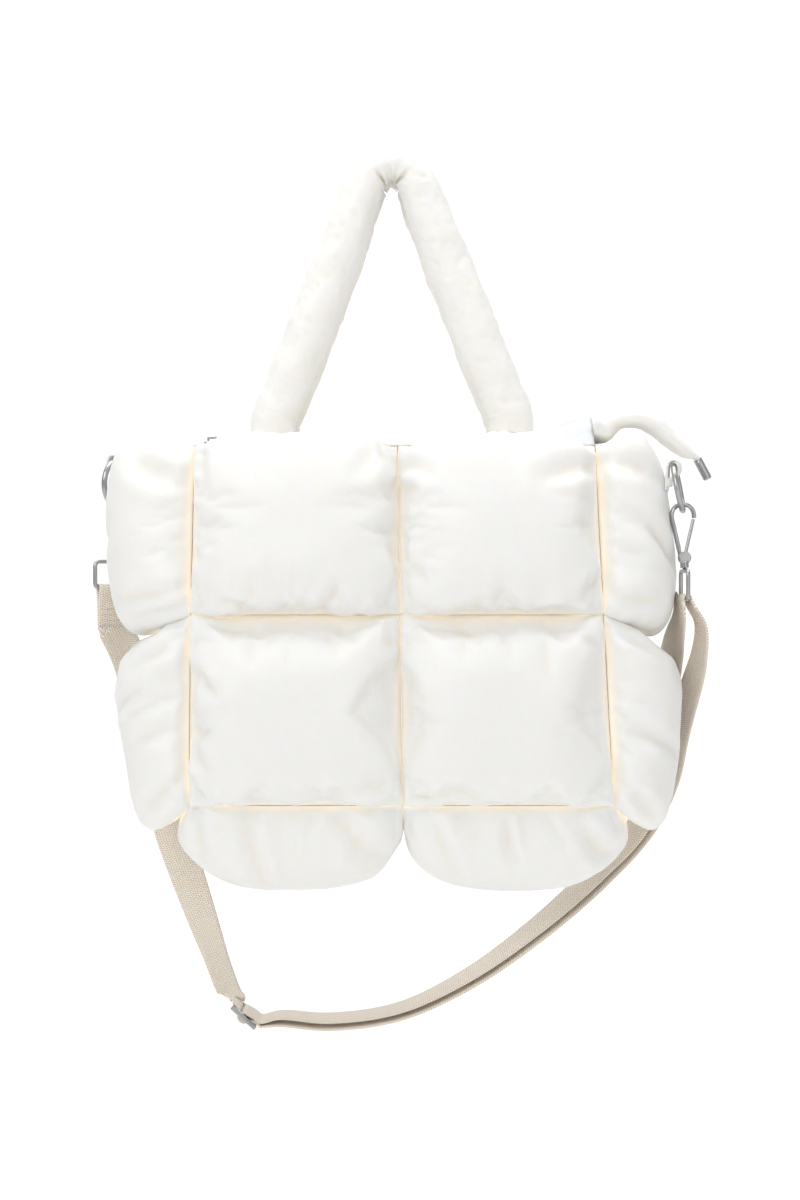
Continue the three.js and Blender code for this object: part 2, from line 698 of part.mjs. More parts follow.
// Where each side's gear hangs: u and v of the tab's foot on the upper side puff, and in degrees
// how far the tab leans out from the puff and the ring from the upright, and how far the hook is
// turned about the upright from the puff's own direction and the loop from the hook.
const gearSeats = {
  left: { u: 0.66, v: 0.18, tabLean: 15, ringLean: 5, hookTurn: -44, loopTurn: -78 },
  right: { u: 0.36, v: 0.26, tabLean: 14, ringLean: 11, hookTurn: 20, loopTurn: 83 },
};

function hangGear(hand) {
  const seat = gearSeats[hand];
  const { point, normal } = faceSeat(puffs[`side_puff_${hand}_upper`], seat.u, seat.v);
  const level = up.clone().cross(normal).normalize();
  const outward = normal.clone().applyAxisAngle(level, rad(seat.tabLean));
  const rise = outward.clone().cross(level).normalize();
  const wire = point.clone()
    .addScaledVector(normal, gap + tabThick / 2)
    .addScaledVector(outward, eyeRadius)
    .addScaledVector(rise, tabFoot);
  place(addMesh(`tab_${hand}`, tabGeometry(), webbing, strapGear), wire, outward, rise);

  const outFlat = vec(normal.x, normal.y, 0).normalize();
  const hang = outFlat.clone().multiplyScalar(Math.sin(rad(seat.ringLean)))
    .addScaledVector(up, -Math.cos(rad(seat.ringLean)));
  const ring = new THREE.TorusGeometry(ringRadius, ringWire, 8, 24);
  const ringAxis = hang.clone().cross(level);
  place(addMesh(`ring_${hand}`, ring, metal, strapGear), wire.clone().addScaledVector(hang, ringRadius), level, ringAxis);

  const across = outFlat.clone().applyAxisAngle(up, rad(seat.hookTurn));
  const hookTop = wire.clone().addScaledVector(hang, 2 * ringRadius)
    .addScaledVector(up, ringWire + hookWire + 2.5 * gap);
  const hook = place(addMesh(`hook_${hand}`, hookGeometry(), metal, strapGear), hookTop, across, up);
  const hinge = vec(bossX, 0, bossZ).applyQuaternion(hook.quaternion).add(hookTop);
  place(addMesh(`gate_${hand}`, gateGeometry(), metal, strapGear), hinge, across, up);

  const loopAcross = across.clone().applyAxisAngle(up, rad(seat.loopTurn));
  const loopTop = vec(bossX, 0, neckEnd - loopWire - gap).applyQuaternion(hook.quaternion).add(hookTop);
  place(addMesh(`strap_loop_${hand}`, loopGeometry(), metal, strapGear), loopTop, loopAcross, up);
  const through = loopAcross.clone().cross(up);
  return { hinge, across, barAcross: loopAcross, through, bar: loopTop.clone().addScaledVector(up, -loopDrop) };
}
const gear = { left: hangGear("left"), right: hangGear("right") };

// Strap
// One length of webbing: sewn round the slider's middle bar, up to the right loop, over its
// lower bar, down and round under the bag, through the slider and up to the left loop, where
// its end is folded over and sewn. The rows of a run: across as a share of the strap's half
// span, back as a share of the bag's depth, down as a share of the strap's drop from the right
// loop, and how far the band is turned from lying square to the view, in degrees.

const strapLayer = strapThick + gap;
const layerSpread = 5; // between the two layers where they hang side by side

const hangingRows = [
  { across: 1.026, back: -0.15, down: 0.06, turn: 6 },
  { across: 1.032, back: -0.07, down: 0.134, turn: 12 },
  { across: 1.012, back: 0.067, down: 0.228, turn: 22 },
  { across: 0.985, back: 0.147, down: 0.325, turn: 25 },
  { across: 0.955, back: 0.235, down: 0.44, turn: 28 },
  { across: 0.883, back: 0.28, down: 0.55, turn: 28 },
  { across: 0.726, back: 0.253, down: 0.669, turn: 24 },
  { across: 0.512, back: 0.2, down: 0.795, turn: 16 },
  { across: 0.268, back: 0.133, down: 0.907, turn: 9 },
  { across: 0.027, back: 0.08, down: 0.979, turn: 4 },
  { across: -0.212, back: 0.053, down: 1, turn: 2 },
  { across: -0.38, back: 0.033, down: 0.99, turn: 0 },
];
const doubledFrom = 5; // the row of the run above where the second layer joins it
const secondRows = [
  { across: 0.893, back: 0.333, down: 0.455, turn: -30 },
  { across: 0.92, back: 0.345, down: 0.36, turn: -30 },
  { across: 0.942, back: 0.313, down: 0.268, turn: -30 },
  { across: 0.957, back: 0.22, down: 0.191, turn: -26 },
  { across: 0.961, back: 0.1, down: 0.125, turn: -18 },
  { across: 0.963, back: -0.06, down: 0.065, turn: -6 },
];
const singleRows = [
  { across: -0.556, back: 0.053, down: 0.919, turn: 20 },
  { across: -0.613, back: 0.133, down: 0.834, turn: 30 },
  { across: -0.668, back: 0.213, down: 0.746, turn: 45 },
  { across: -0.722, back: 0.28, down: 0.656, turn: 62 },
  { across: -0.776, back: 0.34, down: 0.563, turn: 74 },
  { across: -0.843, back: 0.383, down: 0.395, turn: 76 },
  { across: -0.9, back: 0.37, down: 0.219, turn: 68 },
  { across: -0.935, back: 0.32, down: 0.13, turn: 60 },
];
const sliderSpot = { across: -0.498, back: 0.02, down: 0.967 };

const strapTop = gear.right.bar.z;
const strapPlace = (row) => vec(strapHalfSpan * row.across, bodyDepth * row.back, strapTop - strapDrop * row.down);
const sliderPlace = strapPlace(sliderSpot);
const sliderAlong = vec(Math.cos(rad(sliderTilt)), 0, -Math.sin(rad(sliderTilt)));
const sliderUp = vec(Math.sin(rad(sliderTilt)), 0, Math.cos(rad(sliderTilt)));
const onSlider = (along, rise) => sliderPlace.clone().addScaledVector(sliderAlong, along).addScaledVector(sliderUp, rise);
const sliderBar = sliderLength / 2 - sliderWire; // middle bar to either end bar
const overBar = sliderWire + gap + strapThick / 2;
const eyeTurn = overBar;
const bendTurn = overBar + strapLayer;

// Sections along a run of rows: the band's width lies along Y, turned towards the bag
function runSections(places, turns, steps) {
  const curve = new THREE.CatmullRomCurve3(places, false, "centripetal");
  return Array.from({ length: steps + 1 }, (_, i) => {
    const t = i / steps;
    const at = t * (places.length - 1);
    const turn = rad(mix(turns[Math.floor(at)], turns[Math.ceil(at)], at % 1));
    const inward = back.clone().cross(curve.getTangent(t)).normalize();
    const across = back.clone().multiplyScalar(Math.cos(turn)).addScaledVector(inward, Math.sin(turn));
    return { place: curve.getPoint(t), across };
  });
}

function strapSections() {
  const sections = [];
  const square = (places, across) => sections.push(...places.map((place) => ({ place, across })));

  // The eye sewn round the slider's middle bar
  square(arcPoints(9, 350, 80, (a) => onSlider(eyeTurn * Math.cos(a), eyeTurn * Math.sin(a))), back);

  // The second layer, beside the first and then behind the side to the right loop
  const hanging = hangingRows.map(strapPlace);
  const beside = [];
  for (let i = hanging.length - 1; i >= doubledFrom; i--) {
    const along = tangentAt(hanging, i);
    beside.push(hanging[i].clone().addScaledVector(back.clone().cross(along).normalize(), layerSpread));
  }
  const right = gear.right;
  const rightTurn = loopWire + gap + strapThick / 2;
  const secondPlaces = [
    onSlider(sliderBar * 0.55, overBar + strapLayer * 0.75),
    onSlider(sliderBar * 1.1, overBar + strapLayer),
    ...beside,
    ...secondRows.map(strapPlace),
    right.bar.clone().addScaledVector(right.through, -rightTurn).addScaledVector(up, -2),
  ];
  const secondTurns = [
    0, 0,
    ...hangingRows.slice(doubledFrom).reverse().map((row) => -row.turn),
    ...secondRows.map((row) => row.turn),
    -3,
  ];
  sections.push(...runSections(secondPlaces, secondTurns, 34));

  // Over the right loop's lower bar
  square(arcPoints(6, 180, 0, (a) => right.bar.clone()
    .addScaledVector(right.through, rightTurn * Math.cos(a))
    .addScaledVector(up, rightTurn * Math.sin(a))), right.barAcross);

  // The first layer, down and round to the slider
  const firstPlaces = [
    right.bar.clone().addScaledVector(right.through, rightTurn + 1.5).addScaledVector(up, -4),
    ...hanging,
    onSlider(sliderBar * 1.35, overBar - 0.4),
  ];
  sections.push(...runSections(firstPlaces, [3, ...hangingRows.map((row) => row.turn), 0], 34));

  // Over one end bar, under the middle bar and over the other end bar
  square([onSlider(sliderBar, overBar), onSlider(sliderBar * 0.72, overBar - 0.9)], back);
  square(arcPoints(6, 0, -180, (a) => onSlider(bendTurn * Math.cos(a), bendTurn * Math.sin(a))), back);
  square([onSlider(-sliderBar * 0.72, overBar - 0.9), onSlider(-sliderBar, overBar)], back);

  // Up to the left loop, over its lower bar, and the sewn end in front
  const left = gear.left;
  const leftTurn = rightTurn;
  const atLeft = (through, rise) => left.bar.clone()
    .addScaledVector(left.through, through)
    .addScaledVector(up, rise);
  const singlePlaces = [
    onSlider(-sliderBar * 1.35, overBar),
    ...singleRows.map(strapPlace),
    atLeft(-strapLayer / 2, -sewnTail),
  ];
  sections.push(...runSections(singlePlaces, [0, ...singleRows.map((row) => row.turn), 53], 24));
  square([atLeft(-strapLayer / 2, -sewnTail * 0.4)], left.barAcross);
  square(arcPoints(6, 180, 0, (a) => atLeft(leftTurn * Math.cos(a), leftTurn * Math.sin(a))), left.barAcross);
  square([atLeft(strapLayer / 2, -sewnTail * 0.4), atLeft(strapLayer / 2, -sewnTail)], left.barAcross);
  return sections;
}
addMesh("strap", band(strapSections(), strapWidth, strapThick), webbing);

// The slider: a frame with a middle bar; local X along the strap, Y across it
function strapSliderGeometry() {
  const halfWidth = strapWidth / 2 + sliderWire + 2 * gap;
  const bars = [-sliderBar, 0, sliderBar].map((x) => bar(vec(x, -halfWidth, 0), vec(x, halfWidth, 0), sliderWire));
  const sides = [-halfWidth, halfWidth].map((y) =>
    new THREE.BoxGeometry(sliderLength, 2 * sliderWire, 2 * sliderWire).translate(0, y, 0));
  return fromManifold(joined(...sides, ...bars));
}
place(addMesh("strap_slider", strapSliderGeometry(), metal, strapGear), sliderPlace, sliderAlong, sliderUp);

export default bag;
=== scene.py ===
"""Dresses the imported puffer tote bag: stuffed nylon chambers, padded handles, zip, strap and steel.

The sizes are millimetres as in the part's source, and every mesh is made in metres in its frame.
"""

import math

import bmesh
import bpy
import numpy as np
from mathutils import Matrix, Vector, noise


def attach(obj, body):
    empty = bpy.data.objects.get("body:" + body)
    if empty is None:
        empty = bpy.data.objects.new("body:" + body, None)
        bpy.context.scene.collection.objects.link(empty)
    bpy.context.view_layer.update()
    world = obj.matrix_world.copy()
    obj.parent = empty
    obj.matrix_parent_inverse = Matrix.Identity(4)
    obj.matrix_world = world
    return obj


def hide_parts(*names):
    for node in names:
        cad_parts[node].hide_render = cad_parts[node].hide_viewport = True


bl_info = {
    "name": "Puffer tote bag",
    "version": (1, 0, 0),
    "blender": (4, 5, 0),
    "location": "View3D > Sidebar > Puffer bag",
    "description": "Makes the cloth, webbing and steel of a hanging puffer tote bag",
    "category": "Object",
}

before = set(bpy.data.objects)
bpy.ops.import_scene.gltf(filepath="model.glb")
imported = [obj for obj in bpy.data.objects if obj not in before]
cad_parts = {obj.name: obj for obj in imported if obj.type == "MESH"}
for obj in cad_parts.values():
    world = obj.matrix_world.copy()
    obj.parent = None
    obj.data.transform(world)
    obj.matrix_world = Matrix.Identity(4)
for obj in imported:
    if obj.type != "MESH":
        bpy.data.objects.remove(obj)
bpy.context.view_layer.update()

MM = 0.001
MERGE_WITHIN = 0.01 * MM

# Sizes of the bag, as in the part's source, in millimetres and degrees

GAP = 0.3

HANDLE_DROP, HANDLE_SPREAD, HANDLE_WIDTH, HANDLE_DEPTH = 176, 81, 30, 24
BODY_HEIGHT, BODY_DEPTH, PANEL_WIDTH, PANEL_LOFT = 312, 150, 274, 27
SIDE_REACH, SIDE_LOFT, SIDE_FULLNESS = 58, 31, 18
BASE_FULLNESS, BASE_SAG, LINING_SWELL = 12, 14, 6
RIM_RISE, WAIST_SAG, BASE_RISE = 30, 6, 36
PANEL_THICK, TAPE_WIDTH, TAPE_THICK, CHAIN_WIDTH, CHAIN_THICK, ZIP_LIFT = 1.6, 11, 1, 6, 2.6, 19
TAIL_HEIGHT, TAIL_LENGTH, TAIL_DROP, CAP_RADIUS, CAP_WALL, CAP_MOUTH, CAP_LEAN = 14, 76, 29, 3.1, 0.6, 2.5, 28
STRAP_WIDTH, STRAP_THICK, STRAP_DROP, STRAP_HALF_SPAN, SEWN_TAIL = 25, 1.3, 298, 205, 27
LOOP_WIRE, SLIDER_LENGTH, SLIDER_WIRE, SLIDER_TILT = 1.6, 22, 1.5, 42

# Each row of seam corners: left, centre and right as shares of the panel's width, down as a
# share of the body's height, out as one of its depth.
SEAM_ROWS = {
    "rim": {"left": -0.485, "centre": 0.015, "right": 0.5, "down": 0.029, "out": 0.24},
    "waist": {"left": -0.489, "centre": 0.02, "right": 0.515, "down": 0.393, "out": 0.333},
    "base": {"left": -0.493, "centre": 0.027, "right": 0.54, "down": 0.8, "out": 0.333},
}
SIDE_SEAMS = {
    "left": {"rim": (0.58, 0.017), "waist": (0.48, 0.042), "base": (0.2, 0.045)},
    "right": {"rim": (0.29, -0.01), "waist": (0.46, 0.042), "base": (0.24, 0.045)},
}


def vec(x, y, z):
    return np.array([x, y, z], dtype=float)


def unit(v):
    return v / np.linalg.norm(v, axis=-1, keepdims=True)


def mix(a, b, t):
    return a + (b - a) * t


def in_mm(length):
    """A setting's length, which is in metres, in millimetres."""
    return length * 1000


def level_of(row):
    return -HANDLE_DROP - BODY_HEIGHT * SEAM_ROWS[row]["down"]


def seam_corner(row, column, face):
    seam = SEAM_ROWS[row]
    return vec(PANEL_WIDTH * seam[column], face * BODY_DEPTH * seam["out"], level_of(row))


def clear_of(t, span):
    """A share of a span that leaves half a gap free at each of its ends."""
    return mix(GAP / 2 / span, 1 - GAP / 2 / span, t)


def column(t):
    """The numbers of t as a column, to scale rows of vectors."""
    return np.asarray(t, dtype=float)[..., None]


def side_seam(row, hand, u):
    """Places on a row's seam round a side, from the front corner to the back one."""
    side = -1 if hand == "left" else 1
    bow, dip = SIDE_SEAMS[hand][row]
    arch = np.sin(np.pi * np.asarray(u))
    front, rear = seam_corner(row, hand, -1), seam_corner(row, hand, 1)
    place = mix(front, rear, column(clear_of(u, BODY_DEPTH / 2)))
    place = place + column(arch) * vec(side * SIDE_REACH * bow, 0, -BODY_HEIGHT * dip)
    return place


def swell(t, flatness):
    """Steep at 0 and 1, and the flatter between them the higher the flatness is."""
    return np.sqrt(np.maximum(0, 1 - np.abs(2 * t - 1) ** flatness))


def near_edge(t):
    """From 1 at t = 0 down to 0 at a third."""
    return np.maximum(0, 1 - 3 * t) ** 2


class Puff:
    """One stuffed chamber: a seat between four seams and a cover that swells over it.

    Each edge has the direction in which the cover stands out near it, and the direction out of
    the chamber's own space there, which the cover doesn't cross.
    """

    def __init__(self, seat, lift, lifts, walls, fullness, inward, flat):
        self.seat = seat
        self.lift = lift
        self.lifts = lifts
        self.walls = walls
        self.fullness = fullness
        self.inward = inward
        self.flat = flat

    def cover(self, u, v, loft=1.0):
        u0, u1, v0, v1 = near_edge(u), near_edge(1 - u), near_edge(v), near_edge(1 - v)
        in_u, in_v = 1 - u0 - u1, 1 - v0 - v1
        rise = swell(u, self.flat[0]) * swell(v, self.flat[1]) * loft
        shares = (u0 * rise, u1 * rise, in_u * v0 * rise, in_u * v1 * rise)
        place = self.seat(u, v)
        for share, lift in zip(shares, self.lifts):
            place = place + column(share) * lift
        place = place + column(in_u * in_v * rise) * self.lift
        return place - column(np.sin(2 * np.pi * u) * swell(v, self.flat[1]) * loft) * self.fullness

    def lining(self, u, v):
        return self.seat(u, v) + column(np.sin(np.pi * u) * np.sin(np.pi * v)) * self.inward

    def size(self):
        """The seat's width and height through its middle."""
        start, half, end = np.array(0.0), np.array(0.5), np.array(1.0)
        wide = np.linalg.norm(self.seat(end, half) - self.seat(start, half))
        tall = np.linalg.norm(self.seat(half, end) - self.seat(half, start))
        return wide, tall


def panel_puff(face, rows, columns):
    """A chamber of the front or the back."""
    height = level_of(rows[0]) - level_of(rows[1])
    corners = [[seam_corner(row, name, face) for name in columns] for row in rows]
    lifts = {
        "rim": vec(0, face * PANEL_LOFT * 0.4, RIM_RISE),
        "waist": vec(0, face * PANEL_LOFT, -WAIST_SAG),
        "base": vec(0, face * PANEL_LOFT * 0.9, -WAIST_SAG),
    }
    walls = {
        "rim": vec(0, -face, 0),
        "waist": vec(0, -face * 0.3, -1),
        "base": vec(0, -face * 0.35, -1),
        "left": vec(-1, -face, 0),
        "centre": vec(0, 0, 0),
        "right": vec(1, -face, 0),
    }
    side_edge = vec(0, face * PANEL_LOFT * 0.85, 0)
    out_of = [walls[columns[0]], walls[columns[1]], walls[rows[0]].copy(), walls[rows[1]]]
    if columns[0] == "centre":
        out_of[0] = vec(-1, 0, 0)
    if columns[1] == "centre":
        out_of[1] = vec(1, 0, 0)
    if rows[0] == "waist":
        out_of[2] = -walls["waist"]

    def seat(u, v):
        across = column(clear_of(u, PANEL_WIDTH / 2))
        top = mix(corners[0][0], corners[0][1], across)
        bottom = mix(corners[1][0], corners[1][1], across)
        return mix(top, bottom, column(clear_of(v, height)))

    return Puff(seat, vec(0, face * PANEL_LOFT, 0), (side_edge, side_edge, lifts[rows[0]], lifts[rows[1]]),
                out_of, vec(0, 0, 0), vec(0, -face * LINING_SWELL, 0), (6.5, 6.5))


def side_puff(hand, rows):
    """A chamber that wraps round a side, from the front corners to the back ones."""
    side = -1 if hand == "left" else 1
    height = level_of(rows[0]) - level_of(rows[1])
    lifts = {
        "rim": vec(side * SIDE_LOFT * 0.9, 0, RIM_RISE * 0.8),
        "waist": vec(side * SIDE_LOFT * 0.8, 0, -WAIST_SAG),
        "base": vec(side * SIDE_LOFT * 1.1, 0, -BASE_RISE * 0.5),
    }
    walls = {"rim": vec(-side, 0, 0), "waist": vec(-side * 0.3, 0, -1), "base": vec(-side * 1.2, 0, -1)}
    out_of = [vec(-side, -1, 0), vec(-side, 1, 0), walls[rows[0]], walls[rows[1]]]
    if rows[0] == "waist":
        out_of[2] = -walls["waist"]

    def seat(u, v):
        place = mix(side_seam(rows[0], hand, u), side_seam(rows[1], hand, u), column(clear_of(v, height)))
        return place + vec(side * GAP / 2, 0, 0)

    return Puff(seat, vec(side * SIDE_LOFT, 0, 0),
                (vec(0, -PANEL_LOFT * 0.8, 0), vec(0, PANEL_LOFT * 0.8, 0), lifts[rows[0]], lifts[rows[1]]),
                out_of, vec(0, SIDE_FULLNESS, 0), vec(-side * LINING_SWELL * 0.7, 0, 0), (3.8, 5.5))


def base_puff(columns):
    """A chamber under the bag, from the front seam to the back one."""
    depth_below = BODY_HEIGHT * (1 - SEAM_ROWS["base"]["down"]) - BASE_SAG
    end = vec(0, 0, -BASE_RISE)
    lifts = {"left": end, "centre": vec(0, 0, -depth_below * 0.9), "right": end}
    walls = {"left": vec(-1, 0, 1.2), "right": vec(1, 0, 1.2)}

    def edge(name, u):
        if name != "centre":
            return side_seam("base", name, u)
        front, rear = seam_corner("base", name, -1), seam_corner("base", name, 1)
        place = mix(front, rear, column(clear_of(u, BODY_DEPTH / 2)))
        return place + column(np.sin(np.pi * np.asarray(u))) * vec(0, 0, -BASE_SAG)

    def seat(u, v):
        place = mix(edge(columns[0], u), edge(columns[1], u), column(clear_of(v, PANEL_WIDTH / 2)))
        return place - vec(0, 0, GAP / 2)

    out_of = [
        vec(0, -0.35, 1),
        vec(0, 0.35, 1),
        walls.get(columns[0], vec(-1, 0, 0)),
        walls.get(columns[1], vec(1, 0, 0)),
    ]
    ends = (vec(0, -PANEL_LOFT * 0.6, -WAIST_SAG * 0.7), vec(0, PANEL_LOFT * 0.6, -WAIST_SAG * 0.7))
    return Puff(seat, vec(0, 0, -depth_below), (*ends, lifts[columns[0]], lifts[columns[1]]), out_of,
                vec(0, BASE_FULLNESS, 0), vec(0, 0, LINING_SWELL), (2.8, 3.4))


def all_puffs():
    """The fourteen chambers by the names of their CAD nodes."""
    puffs = {}
    levels = (("upper", ("rim", "waist")), ("lower", ("waist", "base")))
    halves = (("left", ("left", "centre")), ("right", ("centre", "right")))
    for face, sign in (("front", -1), ("back", 1)):
        for level, rows in levels:
            for hand, columns in halves:
                puffs[f"{face}_puff_{level}_{hand}"] = panel_puff(sign, rows, columns)
    for hand in ("left", "right"):
        for level, rows in levels:
            puffs[f"side_puff_{hand}_{level}"] = side_puff(hand, rows)
    for hand, columns in halves:
        puffs[f"base_puff_{hand}"] = base_puff(columns)
    return puffs


# Meshes


def new_object(name, points, faces, uvs=None, values=None):
    """A smooth mesh object from points in millimetres, with a UV per point and named values."""
    mesh = bpy.data.meshes.new(name)
    mesh.from_pydata((np.asarray(points) * MM).tolist(), [], faces)
    mesh.validate()
    if uvs is not None:
        mesh.uv_layers.new(name="UVMap")
        set_uvs(mesh, np.asarray(uvs) * MM)
    for key, numbers in (values or {}).items():
        attribute = mesh.attributes.new(key, "FLOAT", "POINT")
        attribute.data.foreach_set("value", np.asarray(numbers, dtype=float))
    mesh.polygons.foreach_set("use_smooth", [True] * len(mesh.polygons))
    obj = bpy.data.objects.new(name, mesh)
    bpy.context.scene.collection.objects.link(obj)
    return obj


def set_uvs(mesh, uvs):
    """Gives the mesh's only UV map the place that uvs has for each point."""
    corner = np.zeros(len(mesh.loops), dtype=np.int32)
    mesh.loops.foreach_get("vertex_index", corner)
    mesh.uv_layers[0].data.foreach_set("uv", uvs[corner].ravel())


def points_of(mesh):
    points = np.zeros(len(mesh.vertices) * 3)
    mesh.vertices.foreach_get("co", points)
    return points.reshape(-1, 3)


def normals_of(mesh):
    normals = np.zeros(len(mesh.vertices) * 3)
    mesh.vertex_normals.foreach_get("vector", normals)
    return normals.reshape(-1, 3)


def edges_of(mesh):
    """The numbers of the two points of each edge."""
    pairs = np.zeros(len(mesh.edges) * 2, dtype=np.int32)
    mesh.edges.foreach_get("vertices", pairs)
    return pairs.reshape(-1, 2)


def lengths_along(places):
    """How far along a path each of its places lies."""
    return np.concatenate([[0], np.cumsum(np.linalg.norm(np.diff(places, axis=0), axis=1))])


def turn_out(obj):
    """Makes every face look outwards."""
    shape = bmesh.new()
    shape.from_mesh(obj.data)
    bmesh.ops.recalc_face_normals(shape, faces=shape.faces)
    if shape.calc_volume(signed=True) < 0:
        bmesh.ops.reverse_faces(shape, faces=shape.faces)
    shape.to_mesh(obj.data)
    shape.free()


def applied(obj, *modifiers):
    """The object with these modifiers, each (type, settings), made part of its mesh."""
    for kind, settings in modifiers:
        modifier = obj.modifiers.new(kind.lower(), kind)
        for key, value in settings.items():
            setattr(modifier, key, value)
    graph = bpy.context.evaluated_depsgraph_get()
    mesh = bpy.data.meshes.new_from_object(obj.evaluated_get(graph))
    obj.modifiers.clear()
    mesh.name = obj.data.name
    obj.data = mesh
    mesh.polygons.foreach_set("use_smooth", [True] * len(mesh.polygons))
    return obj


def rings_object(name, rings, closed=False, girth=60):
    """A tube through rings of equally many points, with capped ends or closed on itself.

    The UV map takes it to be girth millimetres round.
    """
    rings = np.asarray(rings)
    count, sides = rings.shape[:2]
    faces = []
    for i in range(count if closed else count - 1):
        here, there = i * sides, (i + 1) % count * sides
        for j in range(sides):
            k = (j + 1) % sides
            faces.append((here + j, here + k, there + k, there + j))
    if not closed:
        faces.append(tuple(range(sides - 1, -1, -1)))
        faces.append(tuple((count - 1) * sides + j for j in range(sides)))
    around = np.linspace(0, girth, sides, endpoint=False)
    uvs = np.stack(np.meshgrid(lengths_along(rings.mean(axis=1)), around, indexing="ij"), axis=-1)
    obj = new_object(name, rings.reshape(-1, 3), faces, uvs.reshape(-1, 2))
    turn_out(obj)
    return obj


def tangents(points, closed=False):
    if closed:
        return unit(np.roll(points, -1, axis=0) - np.roll(points, 1, axis=0))
    return unit(np.gradient(points, axis=0))


def oval_rings(points, facing, across, through, sides, closed=False):
    """Rings of an oval bar along a path that lies square to facing; the half sizes may vary along it."""
    points = np.asarray(points, dtype=float)
    out = unit(np.cross(tangents(points, closed), facing))
    angle = 2 * np.pi * (np.arange(sides) + 0.5) / sides
    across = np.broadcast_to(across, len(points))
    through = np.broadcast_to(through, len(points))
    return (points[:, None]
            + out[:, None] * (across[:, None] * np.cos(angle))[..., None]
            + np.asarray(facing) * (through[:, None] * np.sin(angle))[..., None])


def smooth_path(rows, steps):
    """Rows of numbers taken along a centripetal curve through their first three, at even steps."""
    rows = np.asarray(rows, dtype=float)
    spans = np.sqrt(np.linalg.norm(np.diff(rows[:, :3], axis=0), axis=1))
    knots = np.concatenate([[0], np.cumsum(spans)])
    first = 2 * rows[0] - rows[1]
    last = 2 * rows[-1] - rows[-2]
    padded = np.vstack([first, rows, last])
    spread = np.concatenate([[knots[0] - spans[0]], knots, [knots[-1] + spans[-1]]])
    result = []
    for t in np.linspace(knots[0], knots[-1], steps + 1):
        i = min(max(np.searchsorted(knots, t, side="right") - 1, 0), len(rows) - 2) + 1
        p, k = padded[i - 1:i + 3], spread[i - 1:i + 3]
        a = [mix(p[j], p[j + 1], (t - k[j]) / (k[j + 1] - k[j])) for j in range(3)]
        b = [mix(a[j], a[j + 1], (t - k[j]) / (k[j + 2] - k[j])) for j in range(2)]
        result.append(mix(b[0], b[1], (t - k[1]) / (k[2] - k[1])))
    return np.asarray(result)


def node_mesh(node):
    """A copy of a CAD node's mesh, in its place."""
    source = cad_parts[node]
    mesh = source.data.copy()
    mesh.transform(source.matrix_world)
    return mesh


def merged_copy(name, node):
    """An object from a CAD node's mesh with its loose triangles joined up."""
    mesh = node_mesh(node)
    shape = bmesh.new()
    shape.from_mesh(mesh)
    bmesh.ops.remove_doubles(shape, verts=shape.verts, dist=MERGE_WITHIN)
    shape.to_mesh(mesh)
    shape.free()
    mesh.materials.clear()
    obj = bpy.data.objects.new(name, mesh)
    bpy.context.scene.collection.objects.link(obj)
    return obj


def own(obj, material, slot, *nodes, body="bag"):
    """Gives a piece its material and its body, and hides the CAD nodes that it stands for."""
    obj.data.materials.clear()
    obj.data.materials.append(material)
    if nodes:
        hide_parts(*nodes)
    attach(obj, body)


# Shader nodes

# The Mix node's sockets that mix colours.
MIX_SHARE, MIX_FIRST, MIX_SECOND, MIX_RESULT = 0, 6, 7, 2


class Field:
    """A socket in a shader tree; arithmetic on it adds Math nodes."""

    def __init__(self, recipe, socket):
        self.recipe = recipe
        self.socket = socket

    def _math(self, operation, first, second):
        return self.recipe.add("ShaderNodeMath", {"operation": operation}, {0: first, 1: second})

    def __add__(self, other):
        return self._math("ADD", self, other)

    def __radd__(self, other):
        return self._math("ADD", other, self)

    def __sub__(self, other):
        return self._math("SUBTRACT", self, other)

    def __rsub__(self, other):
        return self._math("SUBTRACT", other, self)

    def __mul__(self, other):
        return self._math("MULTIPLY", self, other)

    def __rmul__(self, other):
        return self._math("MULTIPLY", other, self)

    def sine(self):
        return self.recipe.add("ShaderNodeMath", {"operation": "SINE"}, {0: self})

    def clamped(self):
        return self.recipe.add("ShaderNodeClamp", {}, {"Value": self})


